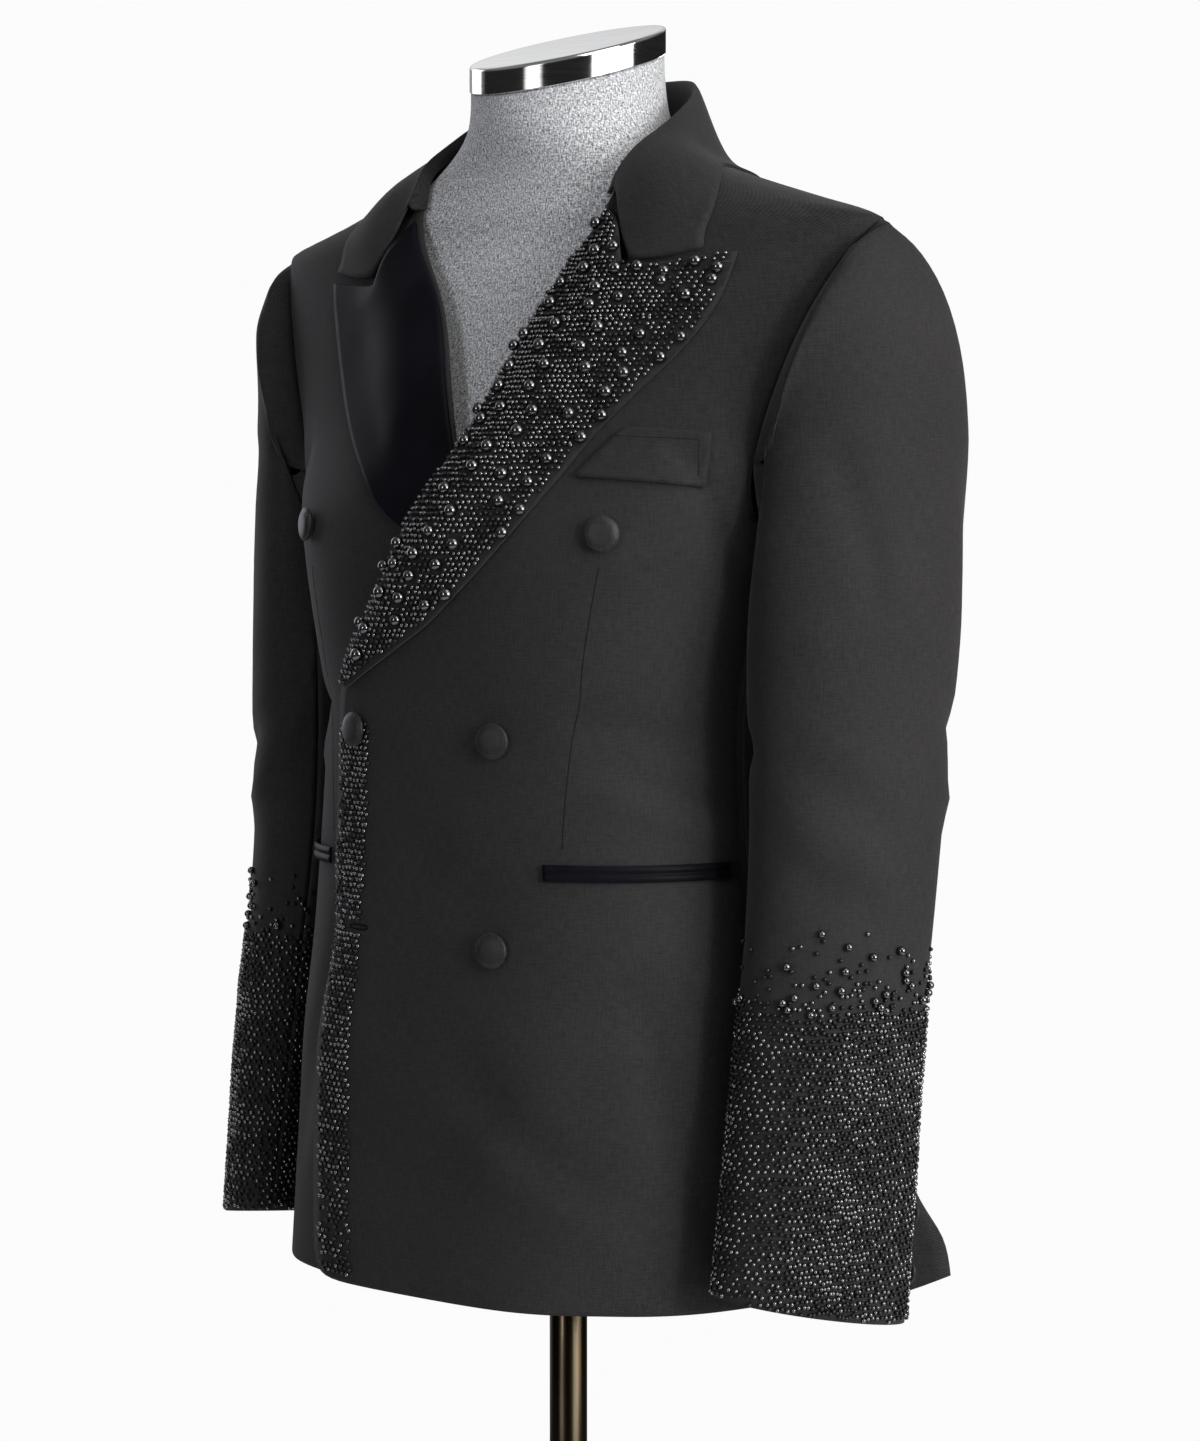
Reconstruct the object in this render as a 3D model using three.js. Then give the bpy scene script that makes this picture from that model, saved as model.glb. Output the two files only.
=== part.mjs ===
// Double-breasted dinner jacket worn by a limbless dress form on a round stand.
// Millimetres, +Z up. The jacket faces -Y and its wearer's left is +X.
// The origin is the centre of the stand's base, on the floor.
import * as THREE from "three";

// Driving dimensions of the jacket
const cloth = 2; // thickness of a cloth wall
const seamGap = 0.3; // between two pieces sewn edge to edge, and between layers
const hemHeight = 824;
const waistHeight = 1187; // where the overlap closes and the lapels break
const armpitHeight = 1275;
const shoulderTipHeight = 1466;
const neckPointHeight = 1524; // where the shoulder seam meets the collar
const overlap = 76; // how far the left front reaches past the centre
const underlayer = 5.4; // how far the right front lies beneath the left one
const seamHalfTurn = 0.09; // half of a seam's gap, as a turn about the body in degrees

// Driving dimensions of the buttons, pockets and beads
const frontButton = { radius: 10.6, height: 5.4 };
const cuffButton = { radius: 7.4, height: 4.2 };
const buttonColumn = 55; // from the centre to a column of front buttons
const pearlRadius = 4.3;
const pearlHeight = 4.6;

// Driving dimensions of the form and its stand
const neckRadius = 61;
const capThickness = 17;
const capSlope = 0.32; // drop towards the front over the depth
const capMiddleHeight = 1587;
const poleRadius = 12;
const formBottom = 862;
const baseRadius = 165;
const baseThickness = 14;
const bossRadius = 24;
const bossHeight = 34;

// Finishes
const finishes = {
  twill: { color: 0x1d1c1f, roughness: 0.85, metalness: 0 },
  beadedSatin: { color: 0x121114, roughness: 0.3, metalness: 0 },
  satin: { color: 0x1a1b20, roughness: 0.38, metalness: 0 },
  linen: { color: 0x5f6266, roughness: 0.9, metalness: 0 },
  steel: { color: 0xb8b8b8, roughness: 0.2, metalness: 1 },
  bronze: { color: 0x3a3426, roughness: 0.3, metalness: 0.9 },
};

// Level sections of the jacket's body: half its width, its depth before and behind the
// stand's axis, and how square the section is (2 is an ellipse).
const bodySections = [
  { z: 810, width: 184, front: 154, back: 130, square: 2.4 },
  { z: 900, width: 178, front: 151, back: 126, square: 2.4 },
  { z: 960, width: 172, front: 150, back: 121, square: 2.4 },
  { z: 1035, width: 163, front: 143, back: 110, square: 2.4 },
  { z: 1100, width: 155, front: 142, back: 100, square: 2.4 },
  { z: 1164, width: 150, front: 143, back: 96, square: 2.4 },
  { z: 1200, width: 153, front: 143, back: 98, square: 2.4 },
  { z: 1253, width: 167, front: 141, back: 108, square: 2.4 },
  { z: 1290, width: 178, front: 136, back: 116, square: 2.4 },
  { z: 1345, width: 198, front: 112, back: 121, square: 2.15 },
  { z: 1400, width: 222, front: 91, back: 117, square: 1.95 },
  { z: 1440, width: 233, front: 76, back: 107, square: 1.85 },
  { z: 1466, width: 236, front: 65, back: 98, square: 1.8 },
  { z: 1477.5, width: 204, front: 61, back: 92, square: 1.82 },
  { z: 1488, width: 169, front: 59, back: 88, square: 1.87 },
  { z: 1500.5, width: 132, front: 58, back: 83, square: 1.92 },
  { z: 1513.5, width: 97, front: 59, back: 79, square: 2 },
  { z: 1524, width: 87, front: 60, back: 77, square: 2 },
  { z: 1534, width: 82, front: 60, back: 76, square: 2 },
];

// Level sections of the form inside the jacket, up to its shoulders.
const formSections = [
  { z: 862, width: 152, front: 124, back: 98, square: 2.3 },
  { z: 960, width: 150, front: 126, back: 98, square: 2.3 },
  { z: 1100, width: 136, front: 120, back: 82, square: 2.3 },
  { z: 1164, width: 132, front: 120, back: 78, square: 2.3 },
  { z: 1253, width: 148, front: 122, back: 92, square: 2.3 },
  { z: 1345, width: 170, front: 92, back: 105, square: 2.1 },
  { z: 1400, width: 186, front: 74, back: 103, square: 1.95 },
  { z: 1440, width: 195, front: 63, back: 97, square: 1.85 },
  { z: 1464, width: 199, front: 55, back: 90, square: 1.8 },
];
const formShoulderLevels = [1479, 1488, 1497, 1505, 1511];
const formClearance = 2.55; // between the form's shoulders and the cloth that they carry

// Soft folds of the body: where each lies, as a turn from the centre front and a height,
// how far it spreads and how far it stands out (or in, below zero).
const bodyFolds = [
  { turn: 22, z: 880, spread: 9, reach: 110, depth: 3.5 },
  { turn: 40, z: 850, spread: 8, reach: 130, depth: -4 },
  { turn: 78, z: 840, spread: 10, reach: 120, depth: 2 },
  { turn: 50, z: 1135, spread: 16, reach: 16, depth: 2.5 },
  { turn: 62, z: 1170, spread: 14, reach: 12, depth: -3 },
  { turn: 128, z: 860, spread: 9, reach: 130, depth: 5 },
  { turn: 160, z: 850, spread: 9, reach: 140, depth: -4 },
  { turn: -160, z: 850, spread: 9, reach: 140, depth: -4 },
  { turn: -130, z: 860, spread: 9, reach: 130, depth: 5 },
  { turn: -80, z: 840, spread: 10, reach: 120, depth: 2 },
  { turn: -52, z: 860, spread: 9, reach: 110, depth: -4 },
  { turn: -55, z: 1165, spread: 15, reach: 14, depth: -3 },
  { turn: 150, z: 1175, spread: 20, reach: 14, depth: -3 },
  { turn: -148, z: 1180, spread: 20, reach: 14, depth: -3 },
  { turn: 120, z: 1335, spread: 10, reach: 50, depth: -4 },
  { turn: -120, z: 1335, spread: 10, reach: 50, depth: -4 },
];

// The armhole, once round from the armpit: turn about the sleeve's own axis (0 is the top,
// below zero the front), turn about the body, height.
const armhole = [
  { around: -180, turn: 90, z: armpitHeight },
  { around: -150, turn: 79, z: 1284 },
  { around: -120, turn: 70.5, z: 1313 },
  { around: -90, turn: 66.5, z: 1352 },
  { around: -60, turn: 65.5, z: 1393 },
  { around: -30, turn: 70, z: 1434 },
  { around: -12, turn: 81, z: 1459 },
  { around: 0, turn: 90, z: shoulderTipHeight },
  { around: 12, turn: 99, z: 1460 },
  { around: 30, turn: 107, z: 1436 },
  { around: 60, turn: 112.5, z: 1395 },
  { around: 90, turn: 112.5, z: 1352 },
  { around: 120, turn: 109, z: 1313 },
  { around: 150, turn: 101, z: 1285 },
  { around: 180, turn: 90, z: armpitHeight },
];

// Rings of the left sleeve from the armhole down: the outermost line (crest) and the
// innermost one (under), the middle's place in depth, half the depth, how far the sleeve is
// turned forward, and the drop from its front edge to its back edge.
const sleeveRings = [
  { place: 1, crestX: 243, crestZ: 1462, underX: 183.5, underZ: 1268, middle: 4, depth: 64, turn: 6, drop: 0 },
  { place: 2, crestX: 252, crestZ: 1446, underX: 181, underZ: 1256, middle: 8, depth: 69, turn: 12, drop: 0 },
  { place: 3, crestX: 257, crestZ: 1418, underX: 176, underZ: 1243, middle: 12, depth: 72, turn: 17, drop: 0 },
  { place: 4, crestX: 259, crestZ: 1378, underX: 173, underZ: 1229, middle: 12, depth: 73, turn: 19, drop: 0 },
  { place: 5, crestX: 260, crestZ: 1328, underX: 170, underZ: 1210, middle: 10, depth: 73.5, turn: 20, drop: 0 },
  { place: 6, crestX: 260, crestZ: 1272, underX: 168, underZ: 1190, middle: 8, depth: 72.5, turn: 20, drop: 0 },
  { place: 7, crestX: 260, crestZ: 1216, underX: 168, underZ: 1165, middle: 5, depth: 70, turn: 21, drop: 0 },
  { place: 8, crestX: 259.5, crestZ: 1160, underX: 169, underZ: 1134, middle: 2, depth: 66, turn: 22, drop: 0 },
  { place: 9, crestX: 257, crestZ: 1105, underX: 171, underZ: 1095, middle: -2, depth: 63, turn: 23, drop: 0.02 },
  { place: 10, crestX: 255, crestZ: 1050, underX: 174, underZ: 1050, middle: -9, depth: 61, turn: 24, drop: 0.06 },
  { place: 11, crestX: 252, crestZ: 1000, underX: 178, underZ: 1000, middle: -17, depth: 60.5, turn: 25, drop: 0.1 },
  { place: 12, crestX: 252, crestZ: 950, underX: 180, underZ: 950, middle: -26, depth: 60.5, turn: 26, drop: 0.14 },
  { place: 13, crestX: 250.5, crestZ: 900, underX: 183.5, underZ: 900, middle: -33, depth: 61, turn: 28, drop: 0.17 },
  { place: 14, crestX: 248.5, crestZ: 860, underX: 186.5, underZ: 862, middle: -40, depth: 61.5, turn: 29, drop: 0.19 },
  { place: 15, crestX: 247.5, crestZ: 828, underX: 188, underZ: 830, middle: -45, depth: 62, turn: 30, drop: 0.2 },
];
const sleeveFolds = [
  { around: -60, place: 9.2, spread: 50, reach: 0.35, depth: -3 },
  { around: -50, place: 10.1, spread: 45, reach: 0.3, depth: -2.5 },
  { around: 60, place: 8.6, spread: 40, reach: 0.35, depth: -2.5 },
  { around: -70, place: 5.4, spread: 35, reach: 0.6, depth: 2 },
  { around: 30, place: 12.2, spread: 40, reach: 0.4, depth: 2 },
];
const armholeStandOff = 1; // of the sleeve from the body where it is set in
const frontSleeveSeam = -115;
const backSleeveSeam = 110;
const ventLength = 104;
const ventFlare = 34;
const ventRise = 20; // of the under sleeve's corner at the vent

// Reads a column of a table at a place between its rows, smoothly and with no overshoot.
function readColumn(rows, key, at, column) {
  const last = rows.length - 1;
  if (at <= rows[0][key]) return rows[0][column];
  if (at >= rows[last][key]) return rows[last][column];
  let row = 0;
  while (rows[row + 1][key] < at) row++;
  const rise = (k) => (rows[k + 1][column] - rows[k][column]) / (rows[k + 1][key] - rows[k][key]);
  const slope = (k) => {
    if (k === 0) return rise(0);
    if (k === last) return rise(last - 1);
    const before = rise(k - 1);
    const after = rise(k);
    return before * after <= 0 ? 0 : (2 * before * after) / (before + after);
  };
  const span = rows[row + 1][key] - rows[row][key];
  const part = (at - rows[row][key]) / span;
  const back = 1 - part;
  return (
    rows[row][column] * (1 + 2 * part) * back * back +
    slope(row) * span * part * back * back +
    rows[row + 1][column] * (3 - 2 * part) * part * part -
    slope(row + 1) * span * part * part * back
  );
}

function easeBetween(value, low, high) {
  return THREE.MathUtils.smoothstep(value, low, high);
}

function bump(distance, spread) {
  return Math.exp(-((distance / spread) ** 2));
}

// A point of a level section: the turn is 0 at the centre front, 90 at the left side, 180 behind.
function sectionPoint(sections, turn, z) {
  const angle = THREE.MathUtils.degToRad(turn);
  const along = Math.cos(angle);
  const across = Math.sin(angle);
  const power = 2 / readColumn(sections, "z", z, "square");
  const depth = readColumn(sections, "z", z, along > 0 ? "front" : "back");
  const width = readColumn(sections, "z", z, "width");
  return new THREE.Vector3(
    width * Math.sign(across) * Math.abs(across) ** power,
    -depth * Math.sign(along) * Math.abs(along) ** power,
    z,
  );
}

function bodySurface(turn, z) {
  const point = sectionPoint(bodySections, turn, z);
  let out = 0;
  for (const fold of bodyFolds) {
    out += fold.depth * bump(turn - fold.turn, fold.spread) * bump(z - fold.z, fold.reach);
  }
  const angle = THREE.MathUtils.degToRad(turn);
  point.x += out * Math.sin(angle);
  point.y -= out * Math.cos(angle);
  return point;
}

// A point of the jacket's body, moved out along the surface by lift.
function bodyPoint({ turn, z }, lift = 0) {
  const point = bodySurface(turn, z);
  const acrossStep = bodySurface(turn + 1, z).sub(bodySurface(turn - 1, z));
  const upStep = bodySurface(turn, z + 1.5).sub(bodySurface(turn, z - 1.5));
  return point.addScaledVector(acrossStep.cross(upStep).normalize(), lift);
}

function bodyNormal(station) {
  return bodyPoint(station, 1).sub(bodyPoint(station, 0)).normalize();
}

// The station at the front with a given distance x from the centre.
function across(x, z) {
  const width = readColumn(bodySections, "z", z, "width");
  const square = readColumn(bodySections, "z", z, "square");
  const turn = Math.asin(Math.min(1, Math.abs(x) / width) ** (square / 2));
  return { turn: Math.sign(x) * THREE.MathUtils.radToDeg(turn), z };
}

function station(turn, z) {
  return { turn, z };
}

// Builds one closed body from its corners and triangles, faces out.
function closedBody(name, finish, corners, triangles) {
  const edge1 = new THREE.Vector3();
  const edge2 = new THREE.Vector3();
  let volume = 0;
  for (const [a, b, c] of triangles) {
    volume += corners[a].dot(edge1.copy(corners[b]).cross(edge2.copy(corners[c])));
  }
  const order = volume < 0 ? triangles.map(([a, b, c]) => [a, c, b]) : triangles;
  const geometry = new THREE.BufferGeometry();
  geometry.setFromPoints(corners);
  geometry.setIndex(order.flat());
  geometry.computeVertexNormals();
  const mesh = new THREE.Mesh(geometry, new THREE.MeshStandardMaterial(finishes[finish]));
  mesh.name = name;
  return mesh;
}

// A cloth wall between an outer and an inner grid of points. domes holds the outer cells that
// carry a pearl, as "row,column" keys with the pearl's place inside its cell.
function clothWall(name, finish, outer, inner, domes = new Map()) {
  const rows = outer.length;
  const columns = outer[0].length;
  const corners = [...outer.flat(), ...inner.flat()];
  const triangles = [];
  const at = (row, column) => row * columns + column;
  const innerStart = rows * columns;
  for (let row = 0; row < rows - 1; row++) {
    for (let column = 0; column < columns - 1; column++) {
      const quad = [at(row, column), at(row, column + 1), at(row + 1, column + 1), at(row + 1, column)];
      const dome = domes.get(`${row},${column}`);
      if (dome) {
        addPearl(corners, triangles, quad, dome);
      } else {
        triangles.push([quad[0], quad[1], quad[2]], [quad[0], quad[2], quad[3]]);
      }
      const [a, b, c, d] = quad.map((corner) => corner + innerStart);
      triangles.push([a, c, b], [a, d, c]);
    }
  }
  const rim = [];
  for (let column = 0; column < columns - 1; column++) rim.push(at(0, column));
  for (let row = 0; row < rows - 1; row++) rim.push(at(row, columns - 1));
  for (let column = columns - 1; column > 0; column--) rim.push(at(rows - 1, column));
  for (let row = rows - 1; row > 0; row--) rim.push(at(row, 0));
  rim.forEach((from, k) => {
    const to = rim[(k + 1) % rim.length];
    triangles.push([from, from + innerStart, to + innerStart], [from, to + innerStart, to]);
  });
  return closedBody(name, finish, corners, triangles);
}

// Raises a round pearl out of one four-sided cell.
function addPearl(corners, triangles, quad, { across: s, up: t }) {
  const [a, b, c, d] = quad.map((corner) => corners[corner]);
  const low = a.clone().lerp(b, s);
  const middle = low.lerp(d.clone().lerp(c, s), t);
  const side = b.clone().sub(a).add(c).sub(d).normalize();
  const normal = side.clone().cross(d.clone().sub(a).add(c).sub(b)).normalize();
  const upward = normal.clone().cross(side);
  const sides = 8;
  const ring = (radius, lift) => {
    const first = corners.length;
    for (let k = 0; k < sides; k++) {
      const angle = ((k + 0.5) / sides) * 2 * Math.PI - (3 * Math.PI) / 4 - Math.PI / sides;
      const point = middle.clone().addScaledVector(side, radius * Math.cos(angle));
      corners.push(point.addScaledVector(upward, radius * Math.sin(angle)).addScaledVector(normal, lift));
    }
    return first;
  };
  const foot = ring(pearlRadius * 0.85, 0.05);
  const shoulder = ring(pearlRadius * 0.82, pearlHeight * 0.62);
  const top = corners.length;
  corners.push(middle.clone().addScaledVector(normal, pearlHeight));
  for (let k = 0; k < sides; k++) {
    const next = (k + 1) % sides;
    triangles.push([foot + k, foot + next, shoulder + next], [foot + k, shoulder + next, shoulder + k]);
    triangles.push([shoulder + k, shoulder + next, top]);
  }
  quad.forEach((corner, k) => {
    const first = (k * sides) / quad.length;
    const near = [first, (first + 1) % sides, (first + 2) % sides];
    triangles.push([corner, foot + near[1], foot + near[0]]);
    triangles.push([corner, quad[(k + 1) % quad.length], foot + near[1]]);
    triangles.push([quad[(k + 1) % quad.length], foot + near[2], foot + near[1]]);
  });
}

// The stations of a panel, one line for each row of its table. A row has an inner and an
// outer end, and a middle where the panel's edge turns a corner.
function panelStations(table, columnCount, mirror = false) {
  return table.map(({ inner, middle, outer }, row) => {
    const turning = middle ?? station((inner.turn + outer.turn) / 2, (inner.z + outer.z) / 2);
    return Array.from({ length: columnCount + 1 }, (_, column) => {
      const part = (2 * column) / columnCount;
      const [from, to] = part < 1 ? [inner, turning] : [turning, outer];
      const share = part < 1 ? part : part - 1;
      const turn = THREE.MathUtils.lerp(from.turn, to.turn, share);
      const z = THREE.MathUtils.lerp(from.z, to.z, share);
      return { turn: mirror ? -turn : turn, z, part: column / columnCount, up: row / (table.length - 1) };
    });
  });
}

// Puts rows between the rows of a table, smoothly.
function finerTable(table, rowCount) {
  const follow = (pick) =>
    new THREE.CatmullRomCurve3(
      table.map((row) => {
        const { turn, z } = pick(row);
        return new THREE.Vector3(turn, z, 0);
      }),
    );
  const halfway = ({ inner, outer }) => station((inner.turn + outer.turn) / 2, (inner.z + outer.z) / 2);
  const curves = [follow((row) => row.inner), follow((row) => row.middle ?? halfway(row)), follow((row) => row.outer)];
  return Array.from({ length: rowCount + 1 }, (_, row) => {
    const [inner, middle, outer] = curves.map((curve) => curve.getPoint(row / rowCount));
    return { inner: station(inner.x, inner.y), middle: station(middle.x, middle.y), outer: station(outer.x, outer.y) };
  });
}

// A wall on the jacket's body over a grid of stations. lift tells how far the outer side
// stands off the body at a station.
function bodyWall(name, finish, stations, lift, thickness = cloth, domes = undefined) {
  const outer = stations.map((line) => line.map((place) => bodyPoint(place, lift(place))));
  const inner = stations.map((line) => line.map((place) => bodyPoint(place, lift(place) - thickness)));
  return clothWall(name, finish, outer, inner, domes);
}

function armholeStation(around) {
  return station(
    readColumn(armhole, "around", around, "turn"),
    readColumn(armhole, "around", around, "z"),
  );
}

// The free edge of the left front, from the hem up, and the roll line above it.
const leftEdge = [
  { z: hemHeight, x: -overlap + 4 },
  { z: hemHeight + 9, x: -overlap - 4 },
  { z: 960, x: -overlap - 9 },
  { z: 1035, x: -overlap - 7 },
  { z: 1100, x: -overlap - 3 },
  { z: waistHeight, x: -overlap + 2 },
  { z: 1241, x: -37 },
  { z: 1281, x: -17 },
  { z: 1303, x: -6 },
  { z: 1338, x: 13 },
  { z: 1362, x: 24 },
  { z: 1398, x: 37 },
  { z: 1431, x: 53 },
  { z: 1470, x: 73 },
];
function leftEdgeX(z) {
  return readColumn(leftEdge, "z", z, "x");
}

// The right front's edge, mirrored: above the waist it reaches further past the centre.
function rightEdgeX(z) {
  return leftEdgeX(z) - 16 * easeBetween(z, 1200, 1290) * easeBetween(-z, -1476, -1420);
}

// The seams beside the side panels, as turns about the body.
const sideSeams = [
  { z: hemHeight, front: 76, back: 113 },
  { z: 1000, front: 82, back: 112 },
  { z: 1110, front: 84, back: 111.5 },
  { z: 1190, front: 85, back: 110.5 },
  { z: 1250, front: 85, back: 108 },
  { z: 1292, front: 84.6, back: 105 },
];
const seamHeights = [hemHeight, 835, 865, 900, 940, 980, 1020, 1060, 1100, 1135, 1165, 1190, 1215, 1240, 1265];
const frontArmholeEnd = -165;
const backArmholeEnd = 139;

function seamStation(which, z, trim) {
  return station(readColumn(sideSeams, "z", z, which) + trim, z);
}

function armholeTrimmed(around, trim) {
  const place = armholeStation(around);
  return station(place.turn + trim, place.z);
}

// Rows over the shoulder, from one row up to the shoulder seam, closer together as they rise.
const shoulderShares = [0, 0.32, 0.6, 0.82, 1];
function rowsUpTo(low, high) {
  const between = (share) => (end) =>
    station(
      THREE.MathUtils.lerp(low[end].turn, high[end].turn, share),
      THREE.MathUtils.lerp(low[end].z, high[end].z, share),
    );
  return shoulderShares.map((share) => {
    const end = between(share);
    return { inner: end("inner"), middle: low.middle && end("middle"), outer: end("outer") };
  });
}

// The neck seam from the gorge round to the shoulder seam.
const neckLine = [
  { turn: 26.5, z: 1484 },
  { turn: 33, z: 1494 },
  { turn: 50, z: 1507.5 },
  { turn: 75, z: 1518 },
  { turn: 90, z: neckPointHeight },
];
function neckSeam(turn) {
  return station(turn, readColumn(neckLine, "turn", turn, "z"));
}

// The fronts: from the free edge to the side panel's seam and the armhole.
const frontAbove = [
  { edge: 1292, around: frontArmholeEnd },
  { edge: 1306, around: -140 },
  { edge: 1320, around: -121 },
  { edge: 1336, around: -105 },
  { edge: 1354, around: -90 },
  { edge: 1374, around: -75 },
  { edge: 1396, around: -60 },
  { edge: 1416, around: -46 },
  { edge: 1436, around: -33 },
  { edge: 1456, around: -22 },
  { edge: 1474, around: -12 },
];
const frontTable = (edgeX) => [
  ...seamHeights.map((z) => ({
    inner: across(edgeX(z), z),
    outer: seamStation("front", z, -seamHalfTurn),
  })),
  ...frontAbove.map(({ edge, around }) => ({
    inner: across(edgeX(edge), edge),
    outer: armholeTrimmed(around, around === frontArmholeEnd ? -seamHalfTurn : 0),
  })),
  ...rowsUpTo(
    { inner: neckSeam(34), outer: armholeStation(-7) },
    { inner: neckSeam(90 - seamHalfTurn), outer: station(90 - seamHalfTurn, shoulderTipHeight) },
  ).map(({ inner, outer }) => ({ inner: neckSeam(inner.turn), outer })),
];

const sideTable = [
  ...seamHeights.map((z) => ({
    inner: seamStation("front", z, seamHalfTurn),
    outer: seamStation("back", z, -seamHalfTurn),
  })),
  {
    inner: armholeTrimmed(frontArmholeEnd, seamHalfTurn),
    middle: armholeStation(180),
    outer: armholeTrimmed(backArmholeEnd, -seamHalfTurn),
  },
];

// The backs: from the centre seam to the side panel's seam and the armhole.
const backAbove = [
  { seam: 1296, around: backArmholeEnd },
  { seam: 1322, around: 122 },
  { seam: 1346, around: 106 },
  { seam: 1370, around: 90 },
  { seam: 1394, around: 75 },
  { seam: 1418, around: 60 },
  { seam: 1442, around: 45 },
  { seam: 1466, around: 30 },
];
const centreBack = 180 - seamHalfTurn;
const backTable = [
  ...seamHeights.map((z) => ({ inner: station(centreBack, z), outer: seamStation("back", z, seamHalfTurn) })),
  ...backAbove.map(({ seam, around }) => ({
    inner: station(centreBack, seam),
    outer: armholeTrimmed(around, around === backArmholeEnd ? seamHalfTurn : 0),
  })),
  ...rowsUpTo(
    { inner: station(centreBack, 1485), middle: station(136, 1482), outer: armholeTrimmed(16, 0.5) },
    {
      inner: station(centreBack, 1512),
      middle: station(90 + seamHalfTurn, neckPointHeight),
      outer: station(90 + seamHalfTurn, shoulderTipHeight),
    },
  ),
];

// The left front's overlap kicks forward towards the hem.
function overlapKick({ turn, z }) {
  const x = sectionPoint(bodySections, turn, z).x;
  return 6 * easeBetween(-x, 10, overlap) * easeBetween(-z, -1120, -880);
}

// The right front lies beneath the left one and comes up to the surface beside it.
function beneathLeft({ turn, z }) {
  const x = sectionPoint(bodySections, turn, z).x;
  return -underlayer * easeBetween(x, leftEdgeX(z) - 60, leftEdgeX(z) - 4);
}

const jacket = new THREE.Group();
jacket.add(bodyWall("front_left", "twill", panelStations(frontTable(leftEdgeX), 10), overlapKick));
jacket.add(bodyWall("front_right", "twill", panelStations(frontTable(rightEdgeX), 10, true), beneathLeft));
for (const [side, mirror] of [["left", false], ["right", true]]) {
  jacket.add(bodyWall(`side_${side}`, "twill", panelStations(sideTable, 4, mirror), () => 0));
  jacket.add(bodyWall(`back_${side}`, "twill", panelStations(backTable, 8, mirror), () => 0));
}

// Lapels, from the break at the waist up to the peak, the notch and the gorge.
const lapelTable = [
  { inner: across(-overlap + 7, waistHeight + 4), outer: across(-overlap + 13, waistHeight + 1) },
  { inner: across(-52, 1219), outer: across(-29, 1206) },
  { inner: across(leftEdgeX(1241) + 1.5, 1241), outer: across(-3, 1221) },
  { inner: across(leftEdgeX(1262) + 1.5, 1262), outer: across(21, 1239) },
  { inner: across(leftEdgeX(1281) + 1.5, 1281), outer: across(45, 1261) },
  { inner: across(leftEdgeX(1303) + 1.5, 1303), outer: across(69, 1288) },
  { inner: across(leftEdgeX(1326) + 1.5, 1326), outer: across(90, 1317) },
  { inner: across(leftEdgeX(1350) + 1.5, 1350), outer: across(103, 1342) },
  { inner: across(leftEdgeX(1376) + 1.5, 1376), outer: across(125, 1368) },
  { inner: across(leftEdgeX(1398) + 1.5, 1398), outer: across(144, 1390) },
  { inner: across(leftEdgeX(1424) + 1.5, 1424), outer: across(159, 1414) },
  { inner: across(leftEdgeX(1450) + 1.5, 1450), middle: across(101, 1431), outer: across(165, 1434) },
  { inner: across(76, 1477), middle: across(99, 1438), outer: across(167, 1446) },
];
const lapelRows = 24;
const lapelColumns = 8;

// The lapel rolls: it stands off the front along the roll line and lies flat at its outer edge.
function lapelLift({ part, up }) {
  const roll = Math.sin(Math.PI * Math.min(1, part * 1.15 + 0.12)) ** 2;
  return cloth + seamGap + 0.4 + 5.5 * roll * easeBetween(up, 0, 0.25);
}

// Pearls are scattered over the lapel's cells, never in two neighbours of one row.
function pearlCells() {
  const cells = new Map();
  for (let row = 1; row < lapelRows; row++) {
    for (let column = (row * 3) % 4 < 2 ? 0 : 1; column < lapelColumns; column += 2) {
      const scatter = Math.sin(row * 12.9 + column * 78.2) * 43.7;
      const chance = scatter - Math.floor(scatter);
      const wide = row > 5;
      if (wide && chance < 0.72) {
        cells.set(`${row},${column}`, { across: 0.5 + 0.08 * Math.sin(row * 5), up: 0.5 + 0.08 * Math.cos(column * 7 + row) });
      }
    }
  }
  return cells;
}
const lapelLeftLift = (place) => lapelLift(place) + overlapKick(place);

// The right lapel lies flat where it goes beneath the left front.
function lapelRightLift(place) {
  const sunk = -beneathLeft(place) / underlayer;
  const flat = cloth + seamGap + 0.45;
  return flat + (lapelLift(place) - flat) * (1 - sunk) ** 2 - underlayer * sunk;
}

jacket.add(
  bodyWall("lapel_left", "beadedSatin", panelStations(finerTable(lapelTable, lapelRows), lapelColumns), lapelLeftLift, cloth, pearlCells()),
);

const satinCloth = 1.85; // the satin is thinner than the twill

// The right lapel shows above the crossing of the fronts and ends beneath the left one.
const rightLapelTable = [
  { inner: across(rightEdgeX(1294) + 1.5, 1294), outer: across(19, 1285) },
  { inner: across(rightEdgeX(1304) + 1.5, 1304), outer: across(31, 1292) },
  { inner: across(rightEdgeX(1316) + 1.5, 1316), outer: across(46, 1303) },
  { inner: across(rightEdgeX(1334) + 1.5, 1334), outer: across(64, 1320) },
  { inner: across(rightEdgeX(1354) + 1.5, 1354), outer: across(83, 1337) },
  { inner: across(rightEdgeX(1376) + 1.5, 1376), outer: across(103, 1362) },
  { inner: across(rightEdgeX(1398) + 1.5, 1398), outer: across(119, 1388) },
  { inner: across(rightEdgeX(1424) + 1.5, 1424), outer: across(133, 1414) },
  { inner: across(rightEdgeX(1450) + 1.5, 1450), middle: across(96, 1427), outer: across(141, 1429) },
  { inner: across(76, 1477), middle: across(96, 1436), outer: across(146, 1442) },
];
jacket.add(
  bodyWall("lapel_right", "satin", panelStations(finerTable(rightLapelTable, 17), 6, true), lapelRightLift, satinCloth),
);

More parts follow.
